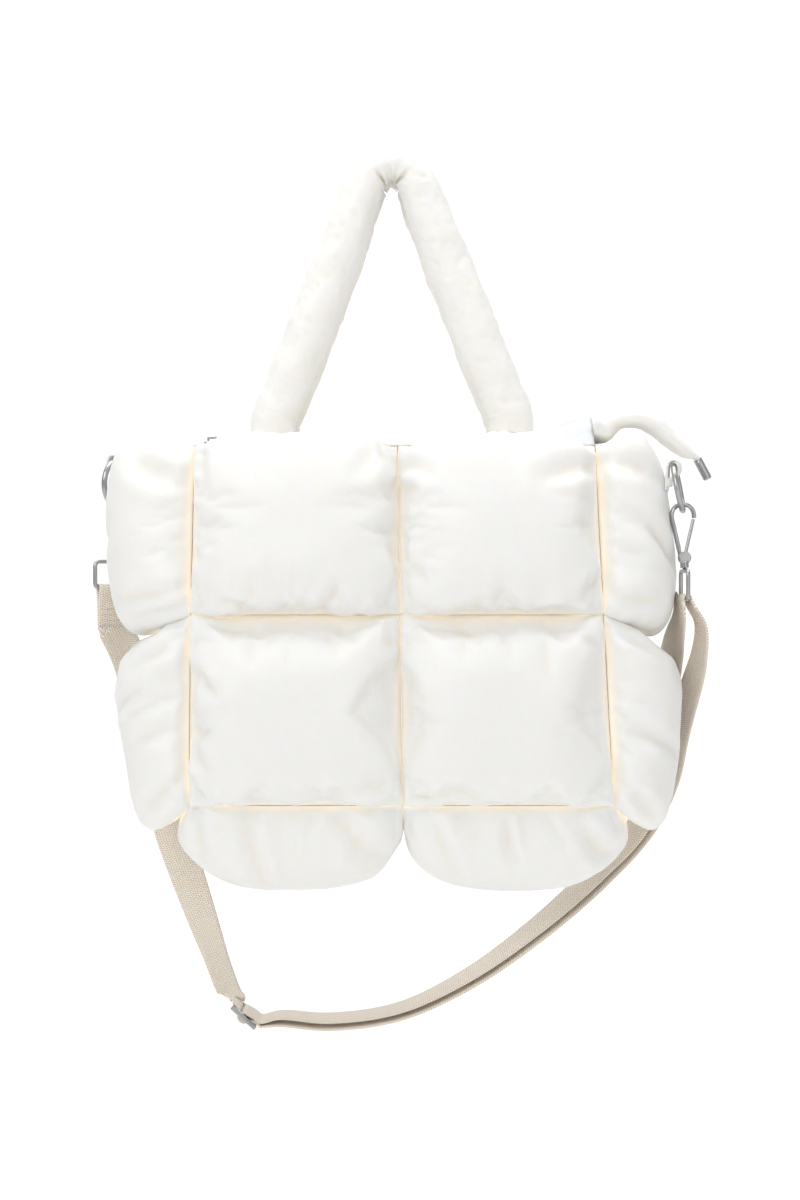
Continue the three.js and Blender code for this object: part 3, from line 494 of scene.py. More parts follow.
class Recipe:
    """A material's node tree; add() makes a node from its type, settings and inputs."""

    def __init__(self, name):
        self.material = bpy.data.materials.new(name)
        self.material.use_nodes = True
        self.tree = self.material.node_tree
        self.tree.nodes.clear()

    def add(self, kind, settings=None, inputs=None, output=0):
        node = self.tree.nodes.new(kind)
        for key, value in (settings or {}).items():
            setattr(node, key, value)
        for key, value in (inputs or {}).items():
            if isinstance(value, Field):
                self.tree.links.new(value.socket, node.inputs[key])
            else:
                node.inputs[key].default_value = value
        return Field(self, node.outputs[output]) if len(node.outputs) else None

    def attribute(self, name):
        return self.add("ShaderNodeAttribute", {"attribute_name": name}, output="Fac")

    def place(self, scale=(1, 1, 1)):
        where = self.add("ShaderNodeTexCoord", output="Object")
        return self.add("ShaderNodeMapping", {}, {"Vector": where, "Scale": scale})

    def noise(self, where, scale, detail=3.0, roughness=0.5, distortion=0.0):
        inputs = {"Vector": where, "Scale": scale, "Detail": detail, "Roughness": roughness}
        inputs["Distortion"] = distortion
        return self.add("ShaderNodeTexNoise", {}, inputs)

    def blend(self, share, first, second):
        """The first colour where share is 0 and the second where it is 1."""
        inputs = {MIX_SHARE: share, MIX_FIRST: first, MIX_SECOND: second}
        return self.add("ShaderNodeMix", {"data_type": "RGBA"}, inputs, MIX_RESULT)

    def bump(self, height, strength, distance, over=None):
        inputs = {"Height": height, "Strength": strength, "Distance": distance}
        if over is not None:
            inputs["Normal"] = over
        return self.add("ShaderNodeBump", {}, inputs)

    def finish(self, **sockets):
        inputs = {key.replace("_", " "): value for key, value in sockets.items()}
        shader = self.add("ShaderNodeBsdfPrincipled", {}, inputs)
        self.add("ShaderNodeOutputMaterial", {}, {"Surface": shader})
        return self.material


def rgba(color):
    return (*color, 1.0)


def nylon(name, cloth, crease, wrinkle=0.35):
    """Downproof nylon: satin, finely wrinkled, with a painted warm shade in its creases and a painted glow at
    its seams.
    """
    recipe = Recipe(name)
    where = recipe.place()
    # painted shade: the crease attribute blends in a warmer, darker colour where the cover lies hollow and
    # along its seams
    fold = recipe.attribute("crease")
    cloudy = recipe.noise(where, 14.0, 3.0)
    share = (fold + (cloudy - 0.5) * 0.12).clamped()
    color = recipe.blend(share, rgba(cloth), rgba(crease))
    fine = recipe.noise(recipe.place((1.0, 1.0, 0.55)), 95.0, 4.0, 0.55, 1.6)
    grain = recipe.noise(where, 1500.0, 2.0)
    soft = recipe.bump(fine, wrinkle, 0.0012)
    normal = recipe.bump(grain, 0.18, 0.0002, soft)
    rough = 0.5 + (fine - 0.5) * 0.14
    # painted glow: an emission that stands in for the light which the cloth and the wadding let through
    # between two chambers
    through = recipe.attribute("slot")
    painted_seam_glow = recipe.blend(through.clamped(), (0.0, 0.0, 0.0, 1.0), (1.0, 0.9, 0.76, 1.0))
    return recipe.finish(Base_Color=color, Roughness=rough, Normal=normal, Sheen_Weight=0.12,
                         Sheen_Roughness=0.45, Subsurface_Weight=0.38, Subsurface_Scale=0.02,
                         Subsurface_Radius=(1.0, 0.72, 0.45), Emission_Color=painted_seam_glow, Emission_Strength=0.42)


def ribbed_webbing(name, warm, shade, rib, thread=0.0018, chevron_width=0.0032):
    """Woven strap: ribs across its length, a fine herringbone and firm edges."""
    recipe = Recipe(name)
    uv = recipe.add("ShaderNodeUVMap")
    along = recipe.add("ShaderNodeSeparateXYZ", {}, {0: uv}, output="X")
    across = recipe.add("ShaderNodeSeparateXYZ", {}, {0: uv}, output="Y")
    turn = 2 * math.pi
    chevron = recipe.add("ShaderNodeMath", {"operation": "PINGPONG"}, {0: across, 1: chevron_width})
    ribs = ((along + chevron * 0.55) * (turn / rib)).sine()
    threads = (across * (turn / thread)).sine()
    weave = ribs * 0.45 + 0.5 + threads * 0.25
    flecks = recipe.noise(uv, 420.0, 3.0)
    share = (0.85 - weave * 0.95 + (flecks - 0.5) * 0.3).clamped()
    color = recipe.blend(share, rgba(warm), rgba(shade))
    normal = recipe.bump(weave, 0.8, 0.0005)
    rough = 0.82 + (flecks - 0.5) * 0.1
    return recipe.finish(Base_Color=color, Roughness=rough, Normal=normal, Sheen_Weight=0.15)


def tape_cloth(name, pale, shade):
    """Fine woven zip tape."""
    recipe = Recipe(name)
    where = recipe.place()
    grain = recipe.noise(where, 900.0, 3.0)
    wide = recipe.noise(where, 60.0, 3.0)
    color = recipe.blend((wide * 0.7 + (grain - 0.5) * 0.4).clamped(), rgba(pale), rgba(shade))
    rough = 0.75 + (grain - 0.5) * 0.1
    normal = recipe.bump(grain, 0.3, 0.0003)
    return recipe.finish(Base_Color=color, Roughness=rough, Normal=normal, Sheen_Weight=0.1)


def steel(name, bright, dark, rough):
    """Polished, lightly brushed steel with faint tarnish."""
    recipe = Recipe(name)
    brush = recipe.noise(recipe.place((1.0, 1.0, 6.0)), 170.0, 2.0, 0.5)
    cloud = recipe.noise(recipe.place(), 70.0, 3.0)
    color = recipe.blend((cloud * 1.1 - 0.3).clamped(), rgba(bright), rgba(dark))
    roughness = rough + (brush - 0.5) * 0.16
    return recipe.finish(Base_Color=color, Roughness=roughness, Metallic=1.0,
                         Normal=recipe.bump(brush, 0.05, 0.0001))


def plain(name, color, rough):
    """A dull surface of one colour, faintly uneven."""
    recipe = Recipe(name)
    grain = recipe.noise(recipe.place(), 6.0, 2.0)
    tint = recipe.blend((grain * 0.3).clamped(), rgba(color), rgba([c * 0.985 for c in color]))
    return recipe.finish(Base_Color=tint, Roughness=rough)


# Chambers

# What a point of the lining has as its way to the seam, in millimetres, so that it takes no painted crease
# shade or seam glow.
FAR_FROM_SEAM = 40
# The filling moves the sides less than the panels, because the rings and hooks hang close by.
SIDE_CAP_SHARE = 0.5
# The gathers of a side or a base run over its bowed cover, which is at least this long.
BOWED_LENGTH = 118
# How far from the seam the gathers begin and die away, and how high the cover's broad bumps are.
GATHER_START, GATHER_END, BROAD_RISE = 2.0, 11, 1.3
# How hollow a point is, by the mean length of the edges, where it lies fully in a crease and takes the full
# painted shade.
FULL_CREASE = 0.2


def puff_mesh(name, puff, count, loft):
    """The closed cover and lining of a chamber, evenly meshed, with how near each point is to a seam."""
    grid = np.linspace(0, 1, count + 1)
    # a little closer together at the seams, where the gathers are
    grid = grid - 0.045 * np.sin(4 * np.pi * grid) * 0.5
    u, v = np.meshgrid(grid, grid, indexing="ij")
    cover = puff.cover(u, v, loft)
    edge = (u <= 0) | (u >= 1) | (v <= 0) | (v >= 1)
    cover[edge] = puff.seat(u, v)[edge]
    lining = puff.lining(u, v)
    index = np.arange((count + 1) ** 2).reshape(count + 1, count + 1)
    inner_index = index.copy()
    inside = ~edge
    inner_index[inside] = (count + 1) ** 2 + np.arange(inside.sum())
    points = np.vstack([cover.reshape(-1, 3), lining[inside]])
    faces = []
    for i in range(count):
        for j in range(count):
            faces.append((index[i, j], index[i + 1, j], index[i + 1, j + 1], index[i, j + 1]))
            inner = ((i, j), (i, j + 1), (i + 1, j + 1), (i + 1, j))
            faces.append(tuple(inner_index[spot] for spot in inner))
    wide, tall = puff.size()
    to_seam = np.minimum(np.minimum(u, 1 - u) * wide, np.minimum(v, 1 - v) * tall)
    seam = np.concatenate([to_seam.ravel(), np.full(inside.sum(), FAR_FROM_SEAM)])
    uvs = np.stack([u * wide, v * tall], axis=-1).reshape(-1, 2)
    uvs = np.vstack([uvs, uvs[inside.ravel()]])
    faces = [tuple(int(k) for k in face) for face in faces]
    obj = new_object(name, points, faces, uvs, {"to_seam": seam})
    turn_out(obj)
    pins = obj.vertex_groups.new(name="sewn")
    sewn = np.concatenate([np.flatnonzero(edge.ravel()), (count + 1) ** 2 + np.arange(inside.sum())])
    pins.add([int(k) for k in sewn], 1.0, "REPLACE")
    return obj, u, v


def stuff(jobs, settings):
    """Fills the chambers: cloth with slack in it is blown up between its sewn edges.

    jobs holds (object, puff, u, v). No point leaves its chamber's own space, or moves further
    from the chamber's plain shape than the cap.
    """
    scene = bpy.context.scene
    for obj, *_ in jobs:
        modifier = obj.modifiers.new("filling", "CLOTH")
        cloth = modifier.settings
        cloth.quality = 6
        cloth.mass = 0.12
        cloth.tension_stiffness = 16
        cloth.compression_stiffness = 16
        cloth.shear_stiffness = 6
        cloth.bending_stiffness = settings.stiffness
        cloth.tension_damping = 12
        cloth.compression_damping = 12
        cloth.use_pressure = True
        cloth.uniform_pressure_force = settings.pressure
        cloth.vertex_group_mass = "sewn"
        cloth.shrink_min = -settings.slack
        cloth.effector_weights.gravity = 0
        modifier.collision_settings.use_collision = False
        modifier.point_cache.frame_start = 1
        modifier.point_cache.frame_end = settings.frames
    for step in range(1, settings.frames + 1):
        scene.frame_set(step)
    graph = bpy.context.evaluated_depsgraph_get()
    blown = [points_of(obj.evaluated_get(graph).data) / MM for obj, *_ in jobs]
    for (obj, puff, u, v), points in zip(jobs, blown):
        obj.modifiers.clear()
        count = u.size
        rest = puff.cover(u, v).reshape(-1, 3)
        cover = points[:count]
        moved = cover - rest
        length = np.linalg.norm(moved, axis=1)
        cap = in_mm(settings.cap) * (SIDE_CAP_SHARE if obj.name.startswith("side") else 1)
        share = np.where(length > 1e-6, cap * np.tanh(length / cap) / np.maximum(length, 1e-6), 1.0)
        cover = rest + moved * share[:, None]
        edges = ((0.0, None), (1.0, None), (None, 0.0), (None, 1.0))
        for wall, (at_u, at_v) in zip(puff.walls, edges):
            if not np.any(wall):
                continue
            out = unit(wall)
            seam = puff.seat(np.full_like(u, at_u) if at_u is not None else u,
                             np.full_like(v, at_v) if at_v is not None else v).reshape(-1, 3)
            beyond = (cover - seam) @ out + GAP * 0.3
            cover = cover - np.maximum(beyond, 0)[:, None] * out
        edge = ((u <= 0) | (u >= 1) | (v <= 0) | (v >= 1)).ravel()
        cover[edge] = puff.seat(u, v).reshape(-1, 3)[edge]
        points[:count] = cover
        obj.data.vertices.foreach_set("co", (points * MM).ravel())
        obj.data.update()
    scene.frame_set(1)


# Folds seen on single chambers: from and to as shares across and down the cover, and depth and
# half width in millimetres. On the sides and base the first share runs from front to back.
FOLDS = {
    "front_puff_upper_left": [
        (0.06, 0.1, 0.06, 0.26, 3.5, 4), (0.9, 0.08, 0.8, 0.2, 3, 5), (0.1, 0.86, 0.3, 0.97, 2.5, 4),
        (0.62, 0.99, 0.7, 0.86, 2.5, 4),
    ],
    "front_puff_upper_right": [
        (0.7, 0.24, 1.0, 0.13, 4, 4.5), (0.02, 0.12, 0.16, 0.2, 3, 4), (0.55, 0.98, 0.5, 0.86, 2.5, 4),
        (0.86, 0.9, 0.98, 0.8, 2.5, 4),
    ],
    "front_puff_lower_left": [
        (0.02, 0.3, 0.14, 0.4, 3, 4), (0.72, 0.9, 0.98, 0.84, 3, 5), (0.3, 0.98, 0.36, 0.86, 2.5, 4),
        (0.03, 0.72, 0.12, 0.8, 3, 4),
    ],
    "front_puff_lower_right": [
        (0.05, 0.97, 0.26, 0.9, 4, 4), (0.86, 0.05, 0.97, 0.2, 3, 4), (0.6, 0.98, 0.68, 0.88, 2.5, 4),
    ],
    "side_puff_left_upper": [
        (0.04, 0.84, 0.3, 0.8, 4, 4), (0.03, 0.93, 0.24, 0.9, 3.5, 3.5), (0.05, 0.22, 0.22, 0.1, 4, 5),
        (0.36, 0.4, 0.5, 0.55, 3, 6),
    ],
    "side_puff_left_lower": [
        (0.2, 0.34, 0.38, 0.42, 4, 4), (0.04, 0.84, 0.26, 0.9, 4, 4), (0.03, 0.1, 0.2, 0.22, 3.5, 4),
        (0.06, 0.55, 0.2, 0.6, 3, 5),
    ],
    "side_puff_right_upper": [
        (0.14, 0.42, 0.34, 0.62, 5, 4.5), (0.04, 0.1, 0.26, 0.22, 4, 5), (0.04, 0.88, 0.22, 0.82, 3.5, 4),
    ],
    "side_puff_right_lower": [
        (0.03, 0.54, 0.32, 0.63, 4.5, 4.5), (0.03, 0.07, 0.22, 0.14, 4, 4), (0.05, 0.86, 0.24, 0.93, 3.5, 4),
    ],
    "base_puff_left": [
        (0.02, 0.26, 0.28, 0.4, 4.5, 4.5), (0.02, 0.04, 0.24, 0.12, 4, 4), (0.04, 0.7, 0.26, 0.92, 4, 5),
    ],
    "base_puff_right": [
        (0.04, 0.8, 0.28, 0.92, 4.5, 4.5), (0.03, 0.12, 0.24, 0.24, 4, 5), (0.03, 0.45, 0.16, 0.5, 3, 4),
    ],
}


def gather(obj, node, puff, u, v, pleat):
    """Puckers the cover along its sewn edges and presses in the folds of its table."""
    mesh = obj.data
    points = points_of(mesh)
    count = u.size
    normals = normals_of(mesh)[:count]
    across, down = u.ravel(), v.ravel()
    wide, tall = puff.size()
    if "side" in node or "base" in node:
        wide = max(wide, BOWED_LENGTH)
    seed = sum(ord(letter) * (i + 3) for i, letter in enumerate(node)) % 97
    edges = ((across * wide, down * tall), ((1 - across) * wide, down * tall),
             (down * tall, across * wide), ((1 - down) * tall, across * wide))
    rise = np.zeros(count)
    for number, (far, along) in enumerate(edges):
        reach = np.exp(-far / GATHER_END) * (1 - np.exp(-far / GATHER_START))
        for i in np.flatnonzero(reach > 0.02):
            spot = Vector((along[i] * 0.085, far[i] * 0.02, seed + number * 7.3))
            fine = Vector((along[i] * 0.19, far[i] * 0.03, seed + number * 3.1))
            rise[i] += ((1 - 2.6 * abs(noise.noise(spot))) * 0.75 + noise.noise(fine) * 0.8) * reach[i]
    rise *= pleat
    broad = np.array([noise.noise(Vector((x * 22, y * 22 + seed, z * 22))) for x, y, z in points[:count]])
    rise += broad * BROAD_RISE * np.sin(np.pi * across) * np.sin(np.pi * down)
    to_seam = np.minimum(np.minimum(across, 1 - across) * wide, np.minimum(down, 1 - down) * tall)
    inside = np.clip(to_seam / 3, 0, 1)
    for u0, v0, u1, v1, depth, half in FOLDS.get(node, ()):
        start, end = np.array([u0 * wide, v0 * tall]), np.array([u1 * wide, v1 * tall])
        run = end - start
        here = np.stack([across * wide, down * tall], axis=1) - start
        t = np.clip(here @ run / (run @ run), 0, 1)
        off = np.linalg.norm(here - t[:, None] * run, axis=1)
        fade = 0.35 + 0.65 * np.sin(np.pi * np.clip(t, 0.08, 0.92))
        # a fold sinks in along its line and bulges a little on both sides
        groove = np.exp(-(off / half) ** 2) - 0.42 * np.exp(-((off - 2 * half) / half) ** 2)
        rise -= depth * fade * groove * inside
    points[:count] += normals * (rise * MM)[:, None]
    mesh.vertices.foreach_set("co", points.ravel())
    mesh.update()


def mark_creases(obj, depth=0.6, seam_reach=1.3, seam_shade_share=0.85):
    """Keeps on each point how deep it lies in a crease, from 0 to 1, for the cloth's warmer colour there,
    which is painted shade.

    A chamber's points also keep how close they lie to a seam, for painted shade along it and for a painted
    glow that stands in for the light that comes through there.
    """
    mesh = obj.data
    points = points_of(mesh)
    normals = normals_of(mesh)
    pairs = edges_of(mesh)
    total = np.zeros_like(points)
    number = np.zeros(len(points))
    for a, b in ((0, 1), (1, 0)):
        np.add.at(total, pairs[:, a], points[pairs[:, b]])
        np.add.at(number, pairs[:, a], 1)
    offset = total / np.maximum(number, 1)[:, None] - points
    size = np.linalg.norm(points[pairs[:, 0]] - points[pairs[:, 1]], axis=1).mean()
    hollow = np.einsum("ij,ij->i", offset, normals) / size
    for _ in range(2):
        spread = np.zeros_like(hollow)
        for a, b in ((0, 1), (1, 0)):
            np.add.at(spread, pairs[:, a], hollow[pairs[:, b]])
        hollow = 0.5 * hollow + 0.5 * spread / np.maximum(number, 1)
    # painted shade: how much of the warmer crease colour each hollow point takes
    crease = np.clip(hollow / FULL_CREASE, 0, 1) * depth
    if "to_seam" in mesh.attributes:
        to_seam = np.zeros(len(mesh.vertices))
        mesh.attributes["to_seam"].data.foreach_get("value", to_seam)
        # points near a seam take painted shade as well
        crease = np.maximum(crease, np.exp(-np.maximum(to_seam, 0) / seam_reach) * seam_shade_share)
        # painted glow: how close each point lies to the seam, for the emission there
        slot = mesh.attributes.new("slot", "FLOAT", "POINT")
        slot.data.foreach_set("value", np.exp(-np.maximum(to_seam, 0) / (seam_reach * 0.7)))
    painted_crease_shade = mesh.attributes.new("crease", "FLOAT", "POINT")
    painted_crease_shade.data.foreach_set("value", crease)


def keep_seam_sharp(obj):
    """Holds the sewn edge in its place when the cover is subdivided."""
    mesh = obj.data
    to_seam = np.zeros(len(mesh.vertices))
    mesh.attributes["to_seam"].data.foreach_get("value", to_seam)
    held = (to_seam[edges_of(mesh)] <= 1e-6).all(axis=1)
    crease = mesh.attributes.new("crease_edge", "FLOAT", "EDGE")
    crease.data.foreach_set("value", held.astype(float))


# Handles, top and tail

# Across as a share of the spread, up as one of the drop, out from the fold's place to the foot's,
# wide and deep as shares of the handle's.
HANDLE_SECTIONS = [
    (-0.985, -0.93, 0.95, 1, 0.94), (-0.8, -0.72, 0.8, 1.02, 1), (-0.62, -0.5, 0.6, 1.03, 1),
    (-0.41, -0.25, 0.35, 1, 1), (-0.255, -0.045, 0.1, 0.92, 1), (-0.155, 0.036, 0, 0.82, 1),
    (0, 0.065, 0, 0.77, 1), (0.13, 0.046, 0, 0.8, 1), (0.215, -0.02, 0.1, 0.9, 1),
    (0.4, -0.24, 0.35, 1, 1), (0.62, -0.49, 0.6, 1.03, 1), (0.81, -0.72, 0.8, 1.02, 1),
    (0.995, -0.93, 0.95, 1, 0.94),
]
# Tucks on the inside of a handle's fold: millimetres along from its top, depth and half width.
FOLD_TUCKS = ((-15.0, 2.2, 2.2), (15.5, 2.8, 2.8), (-1.0, 1.0, 2.0))
# Along as a share of the tail's length, down as one of its drop, high and wide as shares.
TAIL_SECTIONS = [
    (0, 0.25, 1.4, 0.92), (0.09, 0.25, 1.38, 0.7), (0.18, 0.09, 1.15, 0.4),
    (0.28, -0.03, 0.89, 0.38), (0.43, -0.03, 0.89, 0.4), (0.58, 0.11, 0.97, 0.36),
    (0.72, 0.42, 0.88, 0.29), (0.87, 0.74, 0.62, 0.19),
]

RIM_HALF_DEPTH = BODY_DEPTH * SEAM_ROWS["rim"]["out"]
RIM_LEVEL = level_of("rim")
LEFT_SEAM = PANEL_WIDTH * SEAM_ROWS["rim"]["left"]
RIGHT_SEAM = PANEL_WIDTH * SEAM_ROWS["rim"]["right"]
STRIP_LEFT = LEFT_SEAM - SIDE_REACH * SIDE_SEAMS["left"]["rim"][0] * 0.7
TAPE_INNER = CHAIN_WIDTH / 2 + GAP
STRIP_INNER = TAPE_INNER + TAPE_WIDTH + GAP
ZIP_RIGHT = RIGHT_SEAM - GAP


def zip_line(x):
    """The zip's level at each x: flat, and climbing at the right to the tail."""
    start = 0.51 * RIGHT_SEAM
    t = np.clip((np.asarray(x, dtype=float) - start) / (RIGHT_SEAM - start), 0, 1)
    return RIM_LEVEL + PANEL_THICK * 1.2 + ZIP_LIFT * t * t * (3 - 2 * t)


def rim_edge(x):
    """Depth and level of the rim's front seam at each x, past the side seam as well."""
    x = np.asarray(x, dtype=float)
    depth, level = np.empty_like(x), np.empty_like(x)
    for hand, chosen in (("left", x < 0), ("right", x >= 0)):
        corner = seam_corner("rim", hand, -1)
        bow, dip = SIDE_SEAMS[hand]["rim"]
        past = (np.abs(x[chosen]) - abs(corner[0])) / (SIDE_REACH * bow)
        arch = np.clip(past, 0, 1)
        depth[chosen] = corner[1] * (1 - 2 * np.arcsin(arch) / np.pi)
        level[chosen] = corner[2] - BODY_HEIGHT * dip * arch
    return depth, level


def beside_seam(side):
    """A strip's outer edge, along the rim's front or back seam, as (y, z) at x."""
    def edge(x):
        depth, level = rim_edge(x)
        return side * -(depth + GAP * 1.5), level + PANEL_THICK / 2

    return edge


def beside_zip(y):
    """An edge at y from the zip's middle that follows its level."""
    return lambda x: (np.full_like(x, y), zip_line(x))


def past_zip(side):
    """The strips' inner edge beyond the ends of the zip."""
    return lambda x: (np.full_like(x, side * GAP), np.full_like(x, RIM_LEVEL + PANEL_THICK * 1.6))


def strip_object(name, span, outer, inner, thick, steps, rows, wave):
    """A cloth strip along the zip with softly waved faces; outer and inner give (y, z) at x."""
    x = np.linspace(*span, steps + 1)
    share = np.linspace(0, 1, rows + 1)
    outer_y, outer_z = outer(x)
    inner_y, inner_z = inner(x)
    grid = np.stack([
        np.broadcast_to(x[:, None], (steps + 1, rows + 1)),
        mix(outer_y[:, None], inner_y[:, None], share),
        mix(outer_z[:, None], inner_z[:, None], share),
    ], axis=-1)
    held = (np.sin(np.pi * share) * np.ones((steps + 1, 1)))[..., None]
    rise = np.array([noise.noise(Vector((x * 0.06, y * 0.16, 3.0))) for x, y, _ in grid.reshape(-1, 3)])
    lift = rise.reshape(steps + 1, rows + 1)[..., None] * wave * held
    top = grid + vec(0, 0, thick / 2) + lift * vec(0, 0, 1)
    bottom = grid - vec(0, 0, thick / 2) + lift * vec(0, 0, 0.4)
    rings = np.concatenate([top, bottom[:, ::-1]], axis=1)
    return rings_object(name, rings)


def foot_level(x):
    """The level on which a handle's foot at x stands, over the strips and the zip."""
    levels = []
    for edge in (x - HANDLE_WIDTH / 2, x + HANDLE_WIDTH / 2):
        levels.append(float(zip_line(edge)) + CHAIN_THICK / 2)
        levels.append(float(rim_edge(np.array([edge]))[1][0]) + PANEL_THICK)
    return max(levels) + GAP


def handle_object(name, face, wrinkle):
    """A padded handle with puckered cloth, pinched where it is folded over."""
    foot_out = RIM_HALF_DEPTH - HANDLE_DEPTH / 2 - GAP * 5
    fold_out = HANDLE_DEPTH / 2 + GAP
    rows = [(HANDLE_SPREAD * a, face * mix(fold_out, foot_out, o), HANDLE_DROP * z, w, d)
            for a, z, o, w, d in HANDLE_SECTIONS]
    feet = [(foot, face * foot_out, foot_level(foot), 1, 0.9) for foot in (-HANDLE_SPREAD, HANDLE_SPREAD)]
    rows = [feet[0], *rows, feet[1]]
    steps, sides = 300, 56
    path = smooth_path(rows, steps)
    centre, wide, deep = path[:, :3], path[:, 3], path[:, 4]
    rings = oval_rings(centre, (0, 1, 0), HANDLE_WIDTH / 2 * wide, HANDLE_DEPTH / 2 * deep, sides)
    length = lengths_along(centre)
    middle = rings.mean(axis=1, keepdims=True)
    out = unit(rings - middle)
    angle = 2 * np.pi * (np.arange(sides) + 0.5) / sides
    # the inside of the bend, where the cloth is pushed together
    heading = np.unwrap(np.arctan2(np.gradient(centre[:, 2]), np.gradient(centre[:, 0])))
    bend = np.abs(np.gradient(heading, length))
    bend = np.convolve(bend, np.ones(9) / 9, mode="same")
    pinched = np.clip(bend / 0.035, 0, 1)
    inner_side = np.clip((vec(0, 0, -1) * out).sum(axis=-1), 0, 1)
    top = length[np.argmax(centre[:, 2])]
    tucks = sum(depth * np.exp(-((length - top - at) / half) ** 2) for at, depth, half in FOLD_TUCKS)
    puckers = -tucks[:, None] * np.clip(inner_side * 1.6, 0, 1)
    for i, s in enumerate(length):
        for j, a in enumerate(angle):
            around = Vector((math.cos(a) * 1.1, math.sin(a) * 1.1, s * 0.045 + face))
            low = noise.noise(around)
            slant = s * 0.16 + math.sin(a) * 0.9
            fine = noise.noise(Vector((math.cos(a) * 2.6, math.sin(a) * 2.6, slant + 7 * face)))
            pleat = math.sin(s * 0.62 + 2.2 * noise.noise(Vector((s * 0.11, a, 5.0))))
            folded = pinched[i] * inner_side[i, j]
            puckers[i, j] += low * 0.9 + (1 - abs(fine) * 2.2) * 0.42 + pleat * folded * 0.9
    ends = np.clip(np.minimum(length, length[-1] - length) / 14, 0, 1)
    feet_pleats = np.cos(angle * 7)[None] * (1 - ends)[:, None] * 0.35
    swell_out = (puckers * np.clip(ends[:, None], 0.15, 1) + feet_pleats) * wrinkle
    rings = rings + out * swell_out[..., None]
    for end, row in ((0, feet[0]), (-1, feet[1])):
        rings[end, :, 2] = row[2]
        for near in range(1, 4):
            low_ring = rings[near if end == 0 else -1 - near]
            low_ring[:, 2] = np.maximum(low_ring[:, 2], row[2] + 0.6 * near)
    return rings_object(name, rings, girth=85)


def tail_object(name):
    """The padded tail of the zip, tucked where it leaves the bag and where its cap grips it."""
    tail_start = ZIP_RIGHT + GAP
    tail_top = float(zip_line(RIGHT_SEAM))
    lean = math.radians(CAP_LEAN)
    aim = vec(math.sin(lean), 0, -math.cos(lean))
    tip = vec(tail_start + TAIL_LENGTH, 0, tail_top - TAIL_DROP)
    rows = []
    for along, down, high, wide in TAIL_SECTIONS:
        place = (tail_start + TAIL_LENGTH * along, 0, tail_top - TAIL_DROP * down)
        rows.append((*place, TAIL_HEIGHT / 2 * high, RIM_HALF_DEPTH * wide))
    radius = CAP_RADIUS - CAP_WALL - GAP
    neck = tip - aim * CAP_MOUTH * 1.5
    rows += [(*neck, radius, radius), (*tip, radius, radius)]
    path = smooth_path(rows, 90)
    sides = 44
    rings = oval_rings(path[:, :3], (0, 1, 0), path[:, 3], path[:, 4], sides)
    length = lengths_along(path[:, :3])
    angle = 2 * np.pi * (np.arange(sides) + 0.5) / sides
    out = unit(rings - rings.mean(axis=1, keepdims=True))
    tucks = np.zeros(rings.shape[:2])
    for i, s in enumerate(length):
        near_bag = math.exp(-s / 16)
        near_tip = math.exp(-(length[-1] - s) / 20)
        for j, a in enumerate(angle):
            fine = noise.noise(Vector((math.cos(a) * 1.8, math.sin(a) * 1.8, s * 0.09)))
            pleat = abs(math.sin(a * 4 + 0.6 * math.sin(s * 0.2)))
            tucks[i, j] = fine * 0.9 + (pleat - 0.5) * 1.6 * near_bag - (1 - pleat) * 0.9 * near_tip
    free = np.clip((length[-1] - length - CAP_MOUTH) / 8, 0, 1)[:, None]
    rings = rings + out * (tucks * free)[..., None]
    rings[0, :, 0] = tail_start
    return rings_object(name, rings)


# Strap

# Places on the strap's runs: across as a share of its half span, back as one of the body's depth,
# down as one of its drop, and the width's turn in degrees.
HANGING_ROWS = [
    (1.026, -0.15, 0.06, 6), (1.032, -0.07, 0.134, 12), (1.012, 0.067, 0.228, 22),
    (0.985, 0.147, 0.325, 25), (0.955, 0.235, 0.44, 28), (0.883, 0.28, 0.55, 28),
    (0.726, 0.253, 0.669, 24), (0.512, 0.2, 0.795, 16), (0.268, 0.133, 0.907, 9),
    (0.027, 0.08, 0.979, 4), (-0.212, 0.053, 1, 2), (-0.38, 0.033, 0.99, 0),
]
# From this row on, a second layer lies on the hanging run.
DOUBLED_FROM = 5
SECOND_ROWS = [
    (0.893, 0.333, 0.455, -30), (0.92, 0.345, 0.36, -30), (0.942, 0.313, 0.268, -30),
    (0.957, 0.22, 0.191, -26), (0.961, 0.1, 0.125, -18), (0.963, -0.06, 0.065, -6),
]
SINGLE_ROWS = [
    (-0.556, 0.053, 0.919, 20), (-0.613, 0.133, 0.834, 30), (-0.668, 0.213, 0.746, 45),
    (-0.722, 0.28, 0.656, 62), (-0.776, 0.34, 0.563, 74), (-0.843, 0.383, 0.395, 76),
    (-0.9, 0.37, 0.219, 68), (-0.935, 0.32, 0.13, 60),
]
SLIDER_SPOT = (-0.498, 0.02, 0.967)
LAYER = STRAP_THICK + GAP
# How far apart the two layers hang.
LAYER_SPREAD = 5


class LoopBar:
    """The lower bar of a side's square loop, round which the strap runs."""

    def __init__(self, middle, across):
        self.bar = middle
        self.across = across
        self.through = unit(np.cross(across, vec(0, 0, 1)))


GEAR = {
    "left": LoopBar(vec(-197.766, 30.775, -280.337), unit(vec(0.818, 0.575, 0))),
    "right": LoopBar(vec(198.67, -27.087, -287.729), unit(vec(-0.01, 1, 0))),
}


def strap_place(row):
    return vec(STRAP_HALF_SPAN * row[0], BODY_DEPTH * row[1], GEAR["right"].bar[2] - STRAP_DROP * row[2])


TILT = math.radians(SLIDER_TILT)
SLIDER_ALONG = vec(math.cos(TILT), 0, -math.sin(TILT))
SLIDER_UP = vec(math.sin(TILT), 0, math.cos(TILT))
SLIDER_PLACE = strap_place(SLIDER_SPOT)
SLIDER_BAR = SLIDER_LENGTH / 2 - SLIDER_WIRE
OVER_BAR = SLIDER_WIRE + GAP + STRAP_THICK / 2


